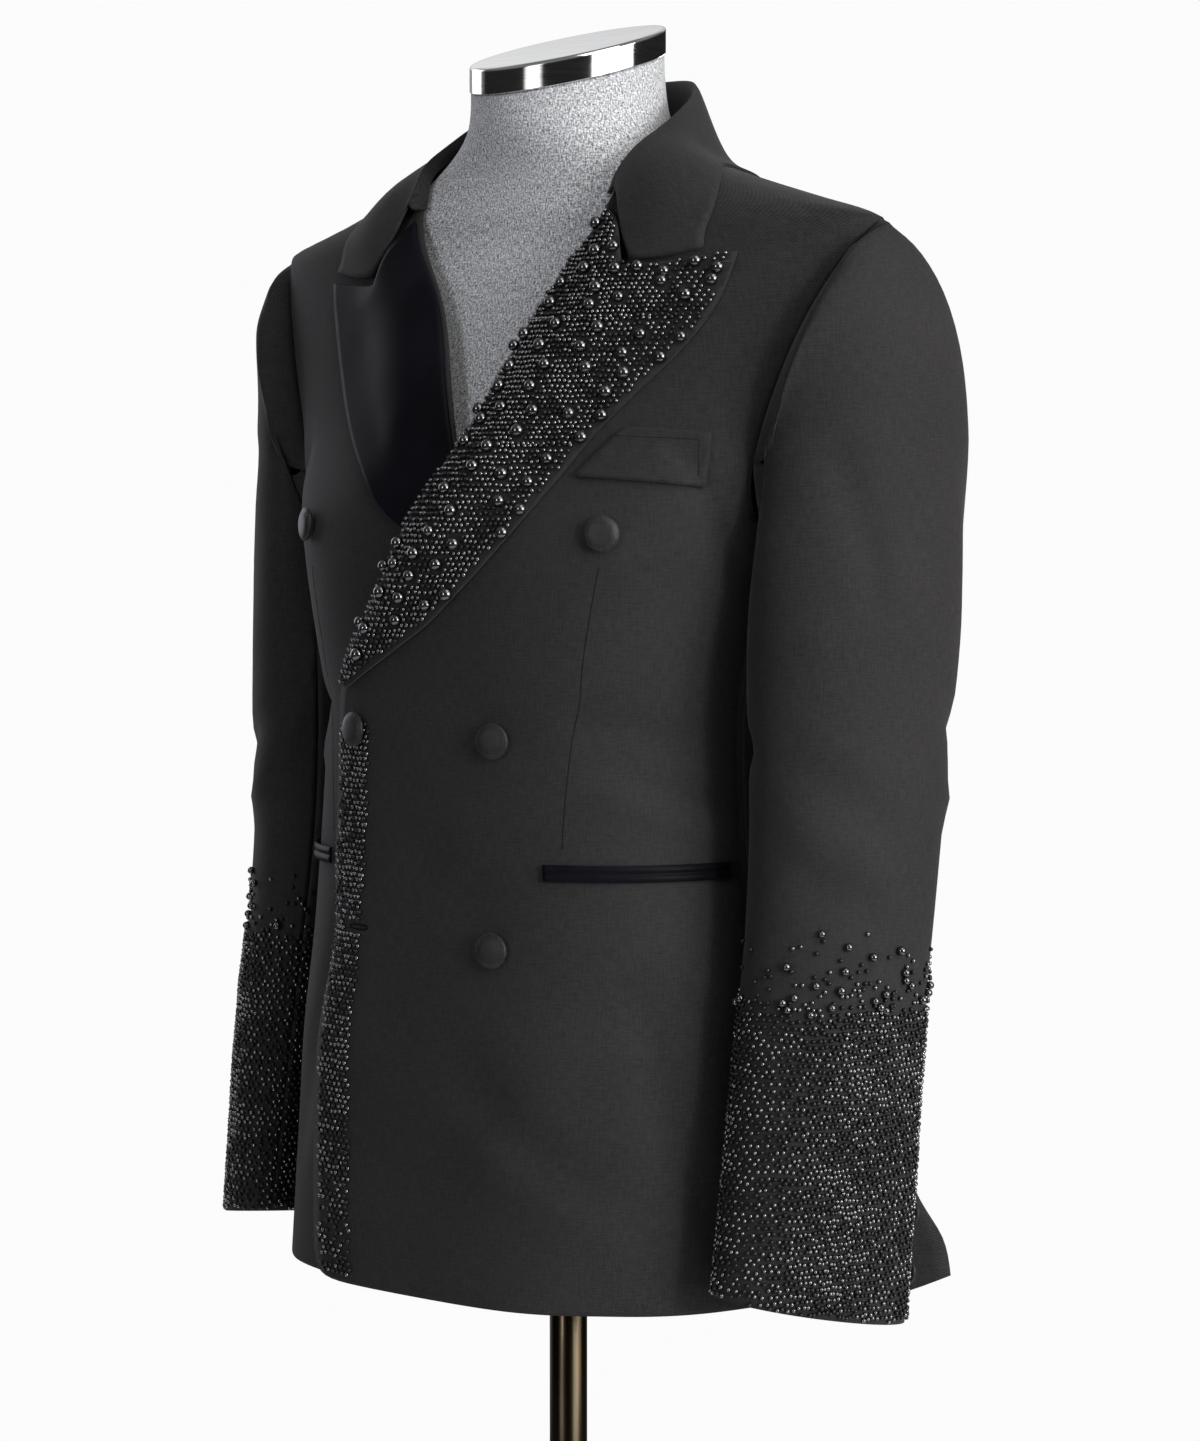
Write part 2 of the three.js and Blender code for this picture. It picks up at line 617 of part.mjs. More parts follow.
// The collar goes once round the neck. Each row gives, for the left half from the front end
// to the centre back, the seam at the neck, the fold on top and the fall's free edge.
const collarTable = [
  { neck: neckSeam(26.5), foldX: 82, foldY: -58, foldZ: 1489, middle: across(103, 1443), rise: 5, edge: across(146, 1450) },
  { neck: neckSeam(33), foldX: 81, foldY: -52, foldZ: 1500, middle: across(109, 1461), rise: 7, edge: across(146, 1467) },
  { neck: neckSeam(50), foldX: 85, foldY: -39, foldZ: 1515, middle: across(112, 1486), rise: 9, edge: across(143, 1484) },
  { neck: neckSeam(75), foldX: 87, foldY: -15, foldZ: 1529, middle: station(74, 1507), rise: 8, edge: station(76, 1500) },
  { neck: station(92, 1524), foldX: 85, foldY: 11, foldZ: 1545, middle: station(94, 1512), rise: 5, edge: station(94, 1504) },
  { neck: station(118, 1521), foldX: 71, foldY: 40, foldZ: 1559, middle: station(118, 1509), rise: 5, edge: station(112, 1499) },
  { neck: station(142, 1516), foldX: 50, foldY: 61, foldZ: 1567, middle: station(142, 1506), rise: 4.5, edge: station(138, 1493) },
  { neck: station(162, 1513), foldX: 25, foldY: 73, foldZ: 1570, middle: station(162, 1504), rise: 4.5, edge: station(160, 1490) },
  { neck: station(180, 1512), foldX: 0, foldY: 77, foldZ: 1571, middle: station(180, 1503), rise: 4.5, edge: station(180, 1489) },
];

const collarStandOff = 1.8; // of the fall's middle layer from the body at its free edge
const collarSeatRise = 2.6; // of the stand's foot above the neck seam
const collarSeatDepth = 1.6;
function collarSection(row) {
  const fold = new THREE.Vector3(row.foldX, row.foldY, row.foldZ);
  const middle = bodyPoint(row.middle, row.rise);
  const edge = bodyPoint(row.edge, collarStandOff);
  const outward = new THREE.Vector3(fold.x, Math.max(0, fold.y), 0).normalize();
  const seat = bodyPoint(station(row.neck.turn, row.neck.z + collarSeatRise), -collarSeatDepth);
  const foldOut = fold.clone().addScaledVector(outward, 2.4).add(new THREE.Vector3(0, 0, -3));
  const foldIn = fold.clone().addScaledVector(outward, -2.6).add(new THREE.Vector3(0, 0, -3));
  const fall = new THREE.CatmullRomCurve3([edge, middle, foldOut]);
  const stand = new THREE.CatmullRomCurve3([foldIn, foldIn.clone().lerp(seat, 0.5), seat]);
  return [...fall.getPoints(4), fold, ...stand.getPoints(2)];
}

// The table's rows brought closer together, then their sections as lines along the collar.
const collarHalfSteps = 15;
function collarGrid() {
  const follow = (pick) => new THREE.CatmullRomCurve3(collarTable.map(pick));
  const seamLine = (seam) => follow((row) => new THREE.Vector3(row[seam].turn, row[seam].z, 0));
  const curves = [seamLine("neck"), seamLine("middle"), seamLine("edge")];
  const foldLine = follow((row) => new THREE.Vector3(row.foldX, row.foldY, row.foldZ));
  const riseLine = follow((row) => new THREE.Vector3(row.rise, 0, 0));
  const half = [];
  for (let step = 0; step <= collarHalfSteps; step++) {
    const share = step / collarHalfSteps;
    const [neck, middle, edge] = curves.map((curve) => curve.getPoint(share)).map(({ x, y }) => station(x, y));
    const { x: foldX, y: foldY, z: foldZ } = foldLine.getPoint(share);
    half.push(collarSection({ neck, middle, edge, foldX, foldY, foldZ, rise: riseLine.getPoint(share).x }));
  }
  return half[0].map((_, line) => {
    const path = half.map((section) => section[line]);
    const other = path.slice(0, -1).map((point) => new THREE.Vector3(-point.x, point.y, point.z)).reverse();
    return [...path, ...other];
  });
}

// Moves a grid of points along its own normals.
function offsetGrid(grid, distance) {
  return grid.map((line, row) =>
    line.map((point, column) => {
      const alongLine = line[Math.min(column + 1, line.length - 1)].clone().sub(line[Math.max(column - 1, 0)]);
      const next = grid[Math.min(row + 1, grid.length - 1)][column];
      const acrossLine = next.clone().sub(grid[Math.max(row - 1, 0)][column]);
      return point.clone().addScaledVector(alongLine.cross(acrossLine).normalize(), distance);
    }),
  );
}
const collarMiddle = collarGrid();
jacket.add(clothWall("collar", "twill", offsetGrid(collarMiddle, cloth / 2), offsetGrid(collarMiddle, -cloth / 2)));

// A point of the left sleeve. around is the turn about its axis, place counts its rings.
function sleeveRing(around, place) {
  const ring = (column) => readColumn(sleeveRings, "place", place, column);
  const angle = THREE.MathUtils.degToRad(around);
  const turn = THREE.MathUtils.degToRad(ring("turn"));
  const halfSpan = (ring("crestX") - ring("underX")) / 2;
  const halfRise = (ring("crestZ") - ring("underZ")) / 2;
  const outward = new THREE.Vector3(halfSpan * Math.cos(turn), -halfSpan * Math.sin(turn), halfRise);
  const backward = new THREE.Vector3(Math.sin(turn), Math.cos(turn), -ring("drop")).multiplyScalar(ring("depth"));
  const middle = new THREE.Vector3(
    (ring("crestX") + ring("underX")) / 2,
    ring("middle"),
    (ring("crestZ") + ring("underZ")) / 2,
  );
  return middle.addScaledVector(outward, Math.cos(angle)).addScaledVector(backward, Math.sin(angle));
}

function sleeveSurface(around, place) {
  if (place >= 1) return sleeveRing(around, place);
  const start = bodyPoint(armholeStation(around), armholeStandOff);
  return start.lerp(sleeveRing(around, 1), place);
}

function sleevePoint(around, place, lift = 0) {
  const wrapped = around > 180 ? around - 360 : around;
  const point = sleeveSurface(wrapped, place);
  const low = Math.max(0, place - 0.1);
  const high = Math.min(sleeveRings.length, place + 0.1);
  const down = sleeveSurface(wrapped, high).sub(sleeveSurface(wrapped, low));
  const turnStep = 4;
  const before = wrapped - turnStep < -180 ? wrapped - turnStep + 360 : wrapped - turnStep;
  const after = wrapped + turnStep > 180 ? wrapped + turnStep - 360 : wrapped + turnStep;
  const round = sleeveSurface(after, place).sub(sleeveSurface(before, place));
  let out = lift;
  for (const fold of sleeveFolds) {
    out += fold.depth * bump(wrapped - fold.around, fold.spread) * bump(place - fold.place, fold.reach);
  }
  return point.addScaledVector(down.cross(round).normalize(), out);
}

// The vent: near the hem the under sleeve's back edge swings out from beneath the top sleeve.
function ventSwing(around, point) {
  const nearHem = easeBetween(hemHeight + 4 + ventLength - point.z, 0, ventLength);
  const nearEdge = easeBetween(backSleeveSeam + 42 - around, 0, 42);
  const swing = nearHem * nearEdge;
  return new THREE.Vector3(ventFlare * (0.75 * swing - 0.12) * swing, ventFlare * swing, ventRise * swing ** 3);
}

const sleeveRowCount = 18;
const sleeveTrim = 0.45; // of each sleeve piece at its seams, as a turn in degrees
const armholeTrim = 1.9; // more of it at the armhole
function sleeveWall(name, from, to, columnCount, under, mirror) {
  const side = (lift) => {
    const grid = [];
    for (let row = 0; row <= sleeveRowCount; row++) {
      const place = (sleeveRings.length * row) / sleeveRowCount;
      const line = [];
      const trim = sleeveTrim + armholeTrim * Math.max(0, 1.7 - place);
      for (let column = 0; column <= columnCount; column++) {
        const around = THREE.MathUtils.lerp(from + trim, to - trim, column / columnCount);
        const point = sleevePoint(around, place, lift);
        if (under) point.add(ventSwing(around, point));
        if (mirror) point.x = -point.x;
        line.push(point);
      }
      grid.push(line);
    }
    return grid;
  };
  return clothWall(name, "twill", side(0), side(-cloth));
}
for (const [side, mirror] of [["left", false], ["right", true]]) {
  jacket.add(sleeveWall(`sleeve_top_${side}`, frontSleeveSeam, backSleeveSeam, 12, false, mirror));
  jacket.add(sleeveWall(`sleeve_under_${side}`, backSleeveSeam, frontSleeveSeam + 360, 7, true, mirror));
}

// Pockets lie on the fronts: a slanted welt at the chest, a double jet at each hip.
const weltLift = 2.3;
const weltThickness = 1.5;
const chestWeltTable = [
  { inner: across(97, 1315), outer: across(163, 1309) },
  { inner: across(118, 1344), outer: across(163, 1341) },
];
jacket.add(
  bodyWall("chest_welt", "twill", panelStations(finerTable(chestWeltTable, 3), 6), () => weltLift, weltThickness),
);

const hipPocketLength = 50; // as a turn about the body, in degrees
const hipPocketFront = 28.5;
const hipPocketHeight = 1083;
const jetHeight = 10;
const jetStandOff = 0.6;
const jetLifts = [0.9, 1.7, 1.7, 0.8, 1.7, 1.7, 0.9];
const hipPocketTable = [
  {
    inner: station(hipPocketFront, hipPocketHeight - jetHeight / 2),
    outer: station(hipPocketFront + hipPocketLength, hipPocketHeight - jetHeight / 2 - 1),
  },
  {
    inner: station(hipPocketFront, hipPocketHeight + jetHeight / 2),
    outer: station(hipPocketFront + hipPocketLength, hipPocketHeight + jetHeight / 2 - 1),
  },
];
for (const [side, mirror] of [["left", false], ["right", true]]) {
  const stations = panelStations(finerTable(hipPocketTable, jetLifts.length - 1), 12, mirror);
  const outer = stations.map((line, row) => line.map((place) => bodyPoint(place, jetStandOff + jetLifts[row])));
  const inner = stations.map((line) => line.map((place) => bodyPoint(place, jetStandOff)));
  jacket.add(clothWall(`hip_jets_${side}`, "satin", outer, inner));
}

// Cloth-covered buttons: a shallow dome with a rounded rim, on its face or its side.
function buttonBody(name, { radius, height }, seat, normal) {
  const profile = [
    [0, 0],
    [radius * 0.8, 0],
    [radius, height * 0.3],
    [radius * 0.96, height * 0.62],
    [radius * 0.72, height * 0.9],
    [0, height],
  ].map(([x, y]) => new THREE.Vector2(x, y));
  const mesh = new THREE.Mesh(
    new THREE.LatheGeometry(profile, 12),
    new THREE.MeshStandardMaterial(finishes.twill),
  );
  mesh.name = name;
  mesh.position.copy(seat);
  mesh.quaternion.setFromUnitVectors(new THREE.Vector3(0, 1, 0), normal);
  return mesh;
}

const frontButtons = [
  { name: "button_top_left", x: 117, z: 1282, lift: 0.5 },
  { name: "button_waist_left", x: buttonColumn, z: 1160, lift: 0.5 },
  { name: "button_low_left", x: buttonColumn, z: 1036, lift: 0.5 },
  { name: "button_closure", x: -buttonColumn, z: 1163, lift: 0.5 },
  { name: "button_top_right", x: -117, z: 1288, lift: 0.5 },
];
for (const { name, x, z, lift } of frontButtons) {
  const place = across(x, z);
  jacket.add(buttonBody(name, frontButton, bodyPoint(place, lift), bodyNormal(place)));
}

const cuffButtons = [
  { order: 1, around: 92, place: 13.25 },
  { order: 2, around: 92, place: 14.15 },
];
for (const [side, sign] of [["left", 1], ["right", -1]]) {
  for (const { order, around, place } of cuffButtons) {
    const seat = sleevePoint(around, place, 0.6);
    const normal = sleevePoint(around, place, 1.6).sub(seat).normalize();
    seat.x *= sign;
    normal.x *= sign;
    jacket.add(buttonBody(`cuff_button_${side}_${order}`, cuffButton, seat, normal));
  }
}

// The form: rings of the body up to the neck, then the neck up to its slanted cut.
const neckRoot = [{ z: 1528, width: 66, front: 60, back: 64, square: 2 }];
function neckPoint(turn, middleHeight, radius) {
  const angle = THREE.MathUtils.degToRad(turn);
  const x = radius * Math.sin(angle);
  const y = -radius * Math.cos(angle);
  return new THREE.Vector3(x, y, middleHeight + capSlope * y);
}

function formBody() {
  const sides = 32;
  const levels = [862, 900, 960, 1030, 1100, 1164, 1210, 1253, 1300, 1345, 1385, 1420, 1445, 1464];
  const around = Array.from({ length: sides }, (_, k) => (360 * k) / sides);
  const signed = (turn) => (turn > 180 ? turn - 360 : turn);
  const rings = levels.map((z) => around.map((turn) => sectionPoint(formSections, turn, z)));
  for (const z of formShoulderLevels) {
    rings.push(around.map((turn) => bodyPoint(station(signed(turn), z), -cloth - formClearance)));
  }
  rings.push(around.map((turn) => sectionPoint(neckRoot, turn, neckRoot[0].z)));
  const neckTop = capMiddleHeight - capThickness - seamGap;
  const neckBlend = neckTop - 14;
  for (const level of [neckBlend, neckTop]) {
    rings.push(around.map((turn) => neckPoint(turn, level, neckRadius)));
  }
  const corners = rings.flat();
  const triangles = [];
  for (let ring = 0; ring < rings.length - 1; ring++) {
    for (let k = 0; k < sides; k++) {
      const next = (k + 1) % sides;
      const low = ring * sides;
      const high = low + sides;
      triangles.push([low + k, low + next, high + next], [low + k, high + next, high + k]);
    }
  }
  const bottom = corners.length;
  corners.push(new THREE.Vector3(0, 0, formBottom));
  corners.push(new THREE.Vector3(0, 0, neckTop));
  const topStart = (rings.length - 1) * sides;
  for (let k = 0; k < sides; k++) {
    const next = (k + 1) % sides;
    triangles.push([bottom, next, k], [bottom + 1, topStart + k, topStart + next]);
  }
  return closedBody("form_torso", "linen", corners, triangles);
}
jacket.add(formBody());

function capBody() {
  const sides = 28;
  const profile = [
    { radius: neckRadius - 1.5, drop: capThickness },
    { radius: neckRadius + 0.5, drop: capThickness - 1.5 },
    { radius: neckRadius + 0.5, drop: 2 },
    { radius: neckRadius - 1.5, drop: 0 },
  ];
  const corners = profile.flatMap(({ radius, drop }) =>
    Array.from({ length: sides }, (_, k) => neckPoint((360 * k) / sides, capMiddleHeight - drop, radius)),
  );
  const triangles = [];
  for (let ring = 0; ring < profile.length - 1; ring++) {
    for (let k = 0; k < sides; k++) {
      const next = (k + 1) % sides;
      const low = ring * sides;
      const high = low + sides;
      triangles.push([low + k, low + next, high + next], [low + k, high + next, high + k]);
    }
  }
  const bottom = corners.length;
  corners.push(new THREE.Vector3(0, 0, capMiddleHeight - capThickness));
  corners.push(new THREE.Vector3(0, 0, capMiddleHeight));
  const topStart = (profile.length - 1) * sides;
  for (let k = 0; k < sides; k++) {
    const next = (k + 1) % sides;
    triangles.push([bottom, next, k], [bottom + 1, topStart + k, topStart + next]);
  }
  return closedBody("neck_cap", "steel", corners, triangles);
}
jacket.add(capBody());

// The stand: a round pole in the boss of a flat round base.
function turnedBody(name, outline, segments) {
  const mesh = new THREE.Mesh(
    new THREE.LatheGeometry(outline.map(([x, y]) => new THREE.Vector2(x, y)), segments),
    new THREE.MeshStandardMaterial(finishes.bronze),
  );
  mesh.name = name;
  mesh.rotation.x = Math.PI / 2;
  return mesh;
}
const bossTop = baseThickness + bossHeight;
jacket.add(
  turnedBody("stand_base", [
    [0, 0],
    [baseRadius, 0],
    [baseRadius, baseThickness - 4],
    [baseRadius - 4, baseThickness],
    [bossRadius + 4, baseThickness],
    [bossRadius, baseThickness + 4],
    [bossRadius, bossTop - 2],
    [bossRadius - 2, bossTop],
    [0, bossTop],
  ], 32),
);
jacket.add(
  turnedBody("stand_pole", [
    [0, bossTop + seamGap],
    [poleRadius, bossTop + seamGap],
    [poleRadius, formBottom - seamGap],
    [0, formBottom - seamGap],
  ], 24),
);

export default jacket;
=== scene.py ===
import math
import random

import bmesh
import bpy
from mathutils import Matrix, Vector, noise
from mathutils.bvhtree import BVHTree


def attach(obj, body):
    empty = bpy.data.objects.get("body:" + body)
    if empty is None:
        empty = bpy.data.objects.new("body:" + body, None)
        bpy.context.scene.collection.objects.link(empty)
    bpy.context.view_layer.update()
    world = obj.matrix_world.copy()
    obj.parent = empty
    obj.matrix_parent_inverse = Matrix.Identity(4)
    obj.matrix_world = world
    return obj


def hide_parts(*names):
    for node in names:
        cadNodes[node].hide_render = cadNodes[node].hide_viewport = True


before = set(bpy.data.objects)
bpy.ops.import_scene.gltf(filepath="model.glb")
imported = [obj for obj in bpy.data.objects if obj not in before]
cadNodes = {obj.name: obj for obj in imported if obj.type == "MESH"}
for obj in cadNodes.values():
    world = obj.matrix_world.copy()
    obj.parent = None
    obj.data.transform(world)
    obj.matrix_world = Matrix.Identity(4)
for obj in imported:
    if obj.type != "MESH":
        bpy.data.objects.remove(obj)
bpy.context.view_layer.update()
print("frame loaded,", len(cadNodes), "nodes")


def startMaterial(name, constants):
    material = bpy.data.materials.new(name)
    material.use_nodes = True
    shader = material.node_tree.nodes["Principled BSDF"]
    for socket, value in constants.items():
        shader.inputs[socket].default_value = value
    return material, material.node_tree, shader


def addNode(tree, kind, settings=None, inputs=None):
    node = tree.nodes.new(kind)
    for key, value in (settings or {}).items():
        setattr(node, key, value)
    for key, value in (inputs or {}).items():
        node.inputs[key].default_value = value
    return node


def mathNode(tree, operation, first, second=None):
    node = addNode(tree, "ShaderNodeMath", {"operation": operation})
    for place, value in enumerate((first, second)):
        if value is None:
            continue
        if isinstance(value, (int, float)):
            node.inputs[place].default_value = value
        else:
            tree.links.new(value, node.inputs[place])
    return node.outputs[0]


def rampNode(tree, source, stops):
    node = addNode(tree, "ShaderNodeValToRGB")
    ramp = node.color_ramp
    while len(ramp.elements) < len(stops):
        ramp.elements.new(0.5)
    for element, (place, colour) in zip(ramp.elements, stops):
        element.position = place
        element.color = (*colour, 1)
    tree.links.new(source, node.inputs["Fac"])
    return node.outputs["Color"]


def paintColour(tree, shader, source, stops):
    tree.links.new(rampNode(tree, source, stops), shader.inputs["Base Color"])


def varyGloss(tree, shader, source, first, last, span=(0.0, 1.0)):   # roughness goes from first to last
    settings = {"From Min": span[0], "From Max": span[1], "To Min": first, "To Max": last}
    gloss = addNode(tree, "ShaderNodeMapRange", None, settings)
    tree.links.new(source, gloss.inputs["Value"])
    tree.links.new(gloss.outputs[0], shader.inputs["Roughness"])


def clothPlace(tree):   # the weave's own map, in metres along and up the cloth
    place = addNode(tree, "ShaderNodeUVMap", {"uv_map": "weave"})
    split = addNode(tree, "ShaderNodeSeparateXYZ")
    tree.links.new(place.outputs["UV"], split.inputs[0])
    return split.outputs["X"], split.outputs["Y"]


def objectNoise(tree, scale, detail=3.0, rough=0.55):
    place = addNode(tree, "ShaderNodeTexCoord")
    settings = {"Scale": scale, "Detail": detail, "Roughness": rough}
    node = addNode(tree, "ShaderNodeTexNoise", None, settings)
    tree.links.new(place.outputs["Object"], node.inputs["Vector"])
    return node.outputs["Fac"]


def threadNoise(tree, stretch):   # long thin flecks along one thread direction of the cloth
    place = addNode(tree, "ShaderNodeUVMap", {"uv_map": "weave"})
    mapping = addNode(tree, "ShaderNodeMapping", None, {"Scale": (*stretch, 1)})
    fleck = addNode(tree, "ShaderNodeTexNoise", None, {"Scale": 1.0, "Detail": 2.0, "Roughness": 0.6})
    tree.links.new(place.outputs["UV"], mapping.inputs["Vector"])
    tree.links.new(mapping.outputs[0], fleck.inputs["Vector"])
    return fleck.outputs["Fac"]


def addBump(tree, shader, height, strength, distance):
    bump = addNode(tree, "ShaderNodeBump", None, {"Strength": strength, "Distance": distance})
    tree.links.new(height, bump.inputs["Height"])
    tree.links.new(bump.outputs["Normal"], shader.inputs["Normal"])


cameraValues = {
    "side": 39.0,       # degrees round from the front, towards the wearer's left
    "distance": 2.0,    # metres from the stand's middle
    "height": 1.28,
    "lens": 78.94,
    "down": 3.32,       # degrees that it looks down
    "swing": 0.58,      # degrees that it looks past the stand
}


def addCamera(values):
    side, distance = math.radians(values["side"]), values["distance"]
    data = bpy.data.cameras.new("camera")
    data.lens = values["lens"]
    data.sensor_width = 36
    camera = bpy.data.objects.new("camera", data)
    camera.location = (math.sin(side) * distance, -math.cos(side) * distance, values["height"])
    turn = math.radians(values["side"] - values["swing"])
    camera.rotation_euler = (math.radians(90 - values["down"]), 0, turn)
    bpy.context.scene.collection.objects.link(camera)
    bpy.context.scene.camera = camera


lampValues = {
    # name: side in degrees, distance, height, aimed height, width, power, colour
    "sideBox": (104, 2.6, 1.75, 1.15, 1.5, 32, (1.0, 0.97, 0.93)),
    "backBox": (-96, 2.8, 1.9, 1.2, 1.4, 16, (0.9, 0.89, 1.0)),
    "topBox": (72, 1.6, 3.1, 1.3, 1.4, 25, (1.0, 0.98, 0.95)),
    "rightSpark": (78, 3.0, 1.7, 1.2, 0.34, 22, (1.0, 1.0, 1.0)),
    "leftSpark": (2, 3.0, 1.6, 1.2, 0.26, 10, (0.88, 0.86, 1.0)),
    "farSpark": (200, 3.0, 1.6, 1.2, 0.3, 14, (1.0, 1.0, 1.0)),
}


def addLamps(values):
    for name, (side, distance, height, aim, width, power, colour) in values.items():
        data = bpy.data.lights.new(name, "AREA")
        data.shape = "RECTANGLE"
        data.size = width
        data.size_y = width * 1.5
        data.energy = power
        data.color = colour
        lamp = bpy.data.objects.new(name, data)
        angle = math.radians(side)
        place = Vector((math.sin(angle) * distance, -math.cos(angle) * distance, height))
        lamp.location = place
        lamp.rotation_euler = (Vector((0, 0, aim)) - place).to_track_quat("-Z", "Y").to_euler()
        bpy.context.scene.collection.objects.link(lamp)


studioValues = {
    "behind": 0.97,      # the white wall
    "panels": 6.5,       # strength of the tall panels round the object
    "rear": 0.55,        # strength of the high panel at the wearer's right
    "overhead": 0.20,
    "below": 0.07,
    "level": 0.02,       # what comes from the height of the object itself
    # degrees round from the front, brightness
    "sides": [(-180, 0.0), (-146, 0.0), (-136, 0.05), (-84, 0.05), (-74, 0.0), (-14, 0.0), (-9, 0.28),
              (5, 0.28), (10, 0.0), (66, 0.0), (72, 0.9), (98, 0.9), (106, 0.0), (180, 0.0)],
    "stripSides": [(-180, 0.0), (-20, 0.0), (-15, 1.0), (12, 1.0), (17, 0.0), (58, 0.0), (63, 1.0),
                   (116, 1.0), (126, 0.0), (180, 0.0)],
    "rearSides": [(-180, 0.2), (-160, 1.0), (-108, 1.0), (-84, 0.1), (180, 0.2)],
    # height of the direction from -1 to 1, brightness
    "rise": [(-0.22, 0.0), (-0.12, 1.0), (0.36, 1.0), (0.48, 0.0)],
    "stripRise": [(-0.14, 0.0), (-0.1, 1.0), (-0.02, 1.0), (0.02, 0.0)],
    "rearRise": [(0.2, 0.0), (0.32, 1.0), (0.7, 1.0), (0.85, 0.0)],
}


def addStudio(values):
    world = bpy.data.worlds.new("studio")
    world.use_nodes = True
    tree = world.node_tree
    light = tree.nodes["Background"]
    light.inputs["Color"].default_value = (0.98, 0.985, 1.0, 1)
    place = addNode(tree, "ShaderNodeTexCoord")
    split = addNode(tree, "ShaderNodeSeparateXYZ")
    tree.links.new(place.outputs["Generated"], split.inputs[0])
    backward = mathNode(tree, "MULTIPLY", split.outputs["Y"], -1.0)
    turn = mathNode(tree, "ARCTAN2", split.outputs["X"], backward)
    share = mathNode(tree, "ADD", mathNode(tree, "DIVIDE", turn, 2 * math.pi), 0.5)
    rise = mathNode(tree, "ADD", mathNode(tree, "MULTIPLY", split.outputs["Z"], 0.5), 0.5)

    def sideRamp(stops):
        return rampNode(tree, share, [(side / 360 + 0.5, (value,) * 3) for side, value in stops])

    def riseRamp(stops):
        return rampNode(tree, rise, [(height * 0.5 + 0.5, (value,) * 3) for height, value in stops])

    panels = mathNode(tree, "MULTIPLY", sideRamp(values["sides"]), values["panels"])
    panels = mathNode(tree, "MULTIPLY", panels, riseRamp(values["rise"]))
    strip = mathNode(tree, "MULTIPLY", sideRamp(values["stripSides"]), riseRamp(values["stripRise"]))
    panels = mathNode(tree, "ADD", panels, strip)
    rear = mathNode(tree, "MULTIPLY", sideRamp(values["rearSides"]), values["rear"])
    rear = mathNode(tree, "MULTIPLY", rear, riseRamp(values["rearRise"]))
    level = values["level"]
    even = riseRamp([(-0.1, values["below"]), (0.0, level), (0.3, level), (0.7, values["overhead"])])
    total = mathNode(tree, "ADD", mathNode(tree, "ADD", panels, rear), even)
    tree.links.new(total, light.inputs["Strength"])
    wall = {"Color": (1, 1, 1, 1), "Strength": values["behind"]}
    plain = addNode(tree, "ShaderNodeBackground", None, wall)
    seen = addNode(tree, "ShaderNodeLightPath")
    mix = addNode(tree, "ShaderNodeMixShader")
    tree.links.new(seen.outputs["Is Camera Ray"], mix.inputs["Fac"])
    tree.links.new(light.outputs[0], mix.inputs[1])
    tree.links.new(plain.outputs[0], mix.inputs[2])
    tree.links.new(mix.outputs[0], tree.nodes["World Output"].inputs["Surface"])
    bpy.context.scene.world = world


addCamera(cameraValues)
addLamps(lampValues)
addStudio(studioValues)
bpy.context.scene.view_settings.view_transform = "Standard"
print("camera and lamps placed")


twillValues = {
    "thread": 0.00155,   # metres from one dot of the weave to the next
    "dark": (0.0056, 0.0053, 0.0056),
    "light": (0.026, 0.0247, 0.0248),
    "dots": 0.24,        # share of the crossing threads in the colour
    "wear": 0.35,        # share of the larger clouds where it has been worn
    "bump": 0.45,
    "depth": 0.0003,
}
groundValues = {**twillValues, "dark": (0.007, 0.007, 0.008), "light": (0.02, 0.02, 0.021)}
# painted shade: the darts' and welt seam's dark twill stands for the shadow in the seam's groove
seamShadowValues = {**twillValues, "dark": (0.002, 0.002, 0.002), "light": (0.006, 0.006, 0.006)}
buttonClothValues = {**twillValues, "thread": 0.0009}


def makeTwill(name, values, sheen=0.08, roughness=0.8):
    material, tree, shader = startMaterial(name, {
        "Roughness": roughness,
        "Specular IOR Level": 0.22,
        "Sheen Weight": sheen,
        "Sheen Roughness": 0.45,
        "Sheen Tint": (0.8, 0.78, 0.76, 1),
    })
    along, up = clothPlace(tree)
    turn = 2 * math.pi / values["thread"]
    warp = mathNode(tree, "SINE", mathNode(tree, "MULTIPLY", along, turn))
    weft = mathNode(tree, "SINE", mathNode(tree, "MULTIPLY", up, turn))
    dots = mathNode(tree, "MULTIPLY", warp, weft)
    slub = mathNode(tree, "ADD", threadNoise(tree, (140, 900)), threadNoise(tree, (900, 120)))
    slub = mathNode(tree, "MULTIPLY", slub, 0.5)
    weave = mathNode(tree, "MULTIPLY_ADD", dots, values["dots"])
    tree.links.new(slub, weave.node.inputs[2])
    wear = mathNode(tree, "SUBTRACT", objectNoise(tree, 9.0, 3.0), 0.5)
    mixed = mathNode(tree, "ADD", weave, mathNode(tree, "MULTIPLY", wear, values["wear"]))
    paintColour(tree, shader, mixed, [(0.22, values["dark"]), (0.78, values["light"])])
    addBump(tree, shader, weave, values["bump"], values["depth"])
    return material


satinValues = {
    "thread": 0.0006,
    "rib": 0.16,         # share of the slanting ribs in the colour
    "dark": (0.0028, 0.0029, 0.0042),
    "light": (0.0065, 0.0068, 0.0105),
}


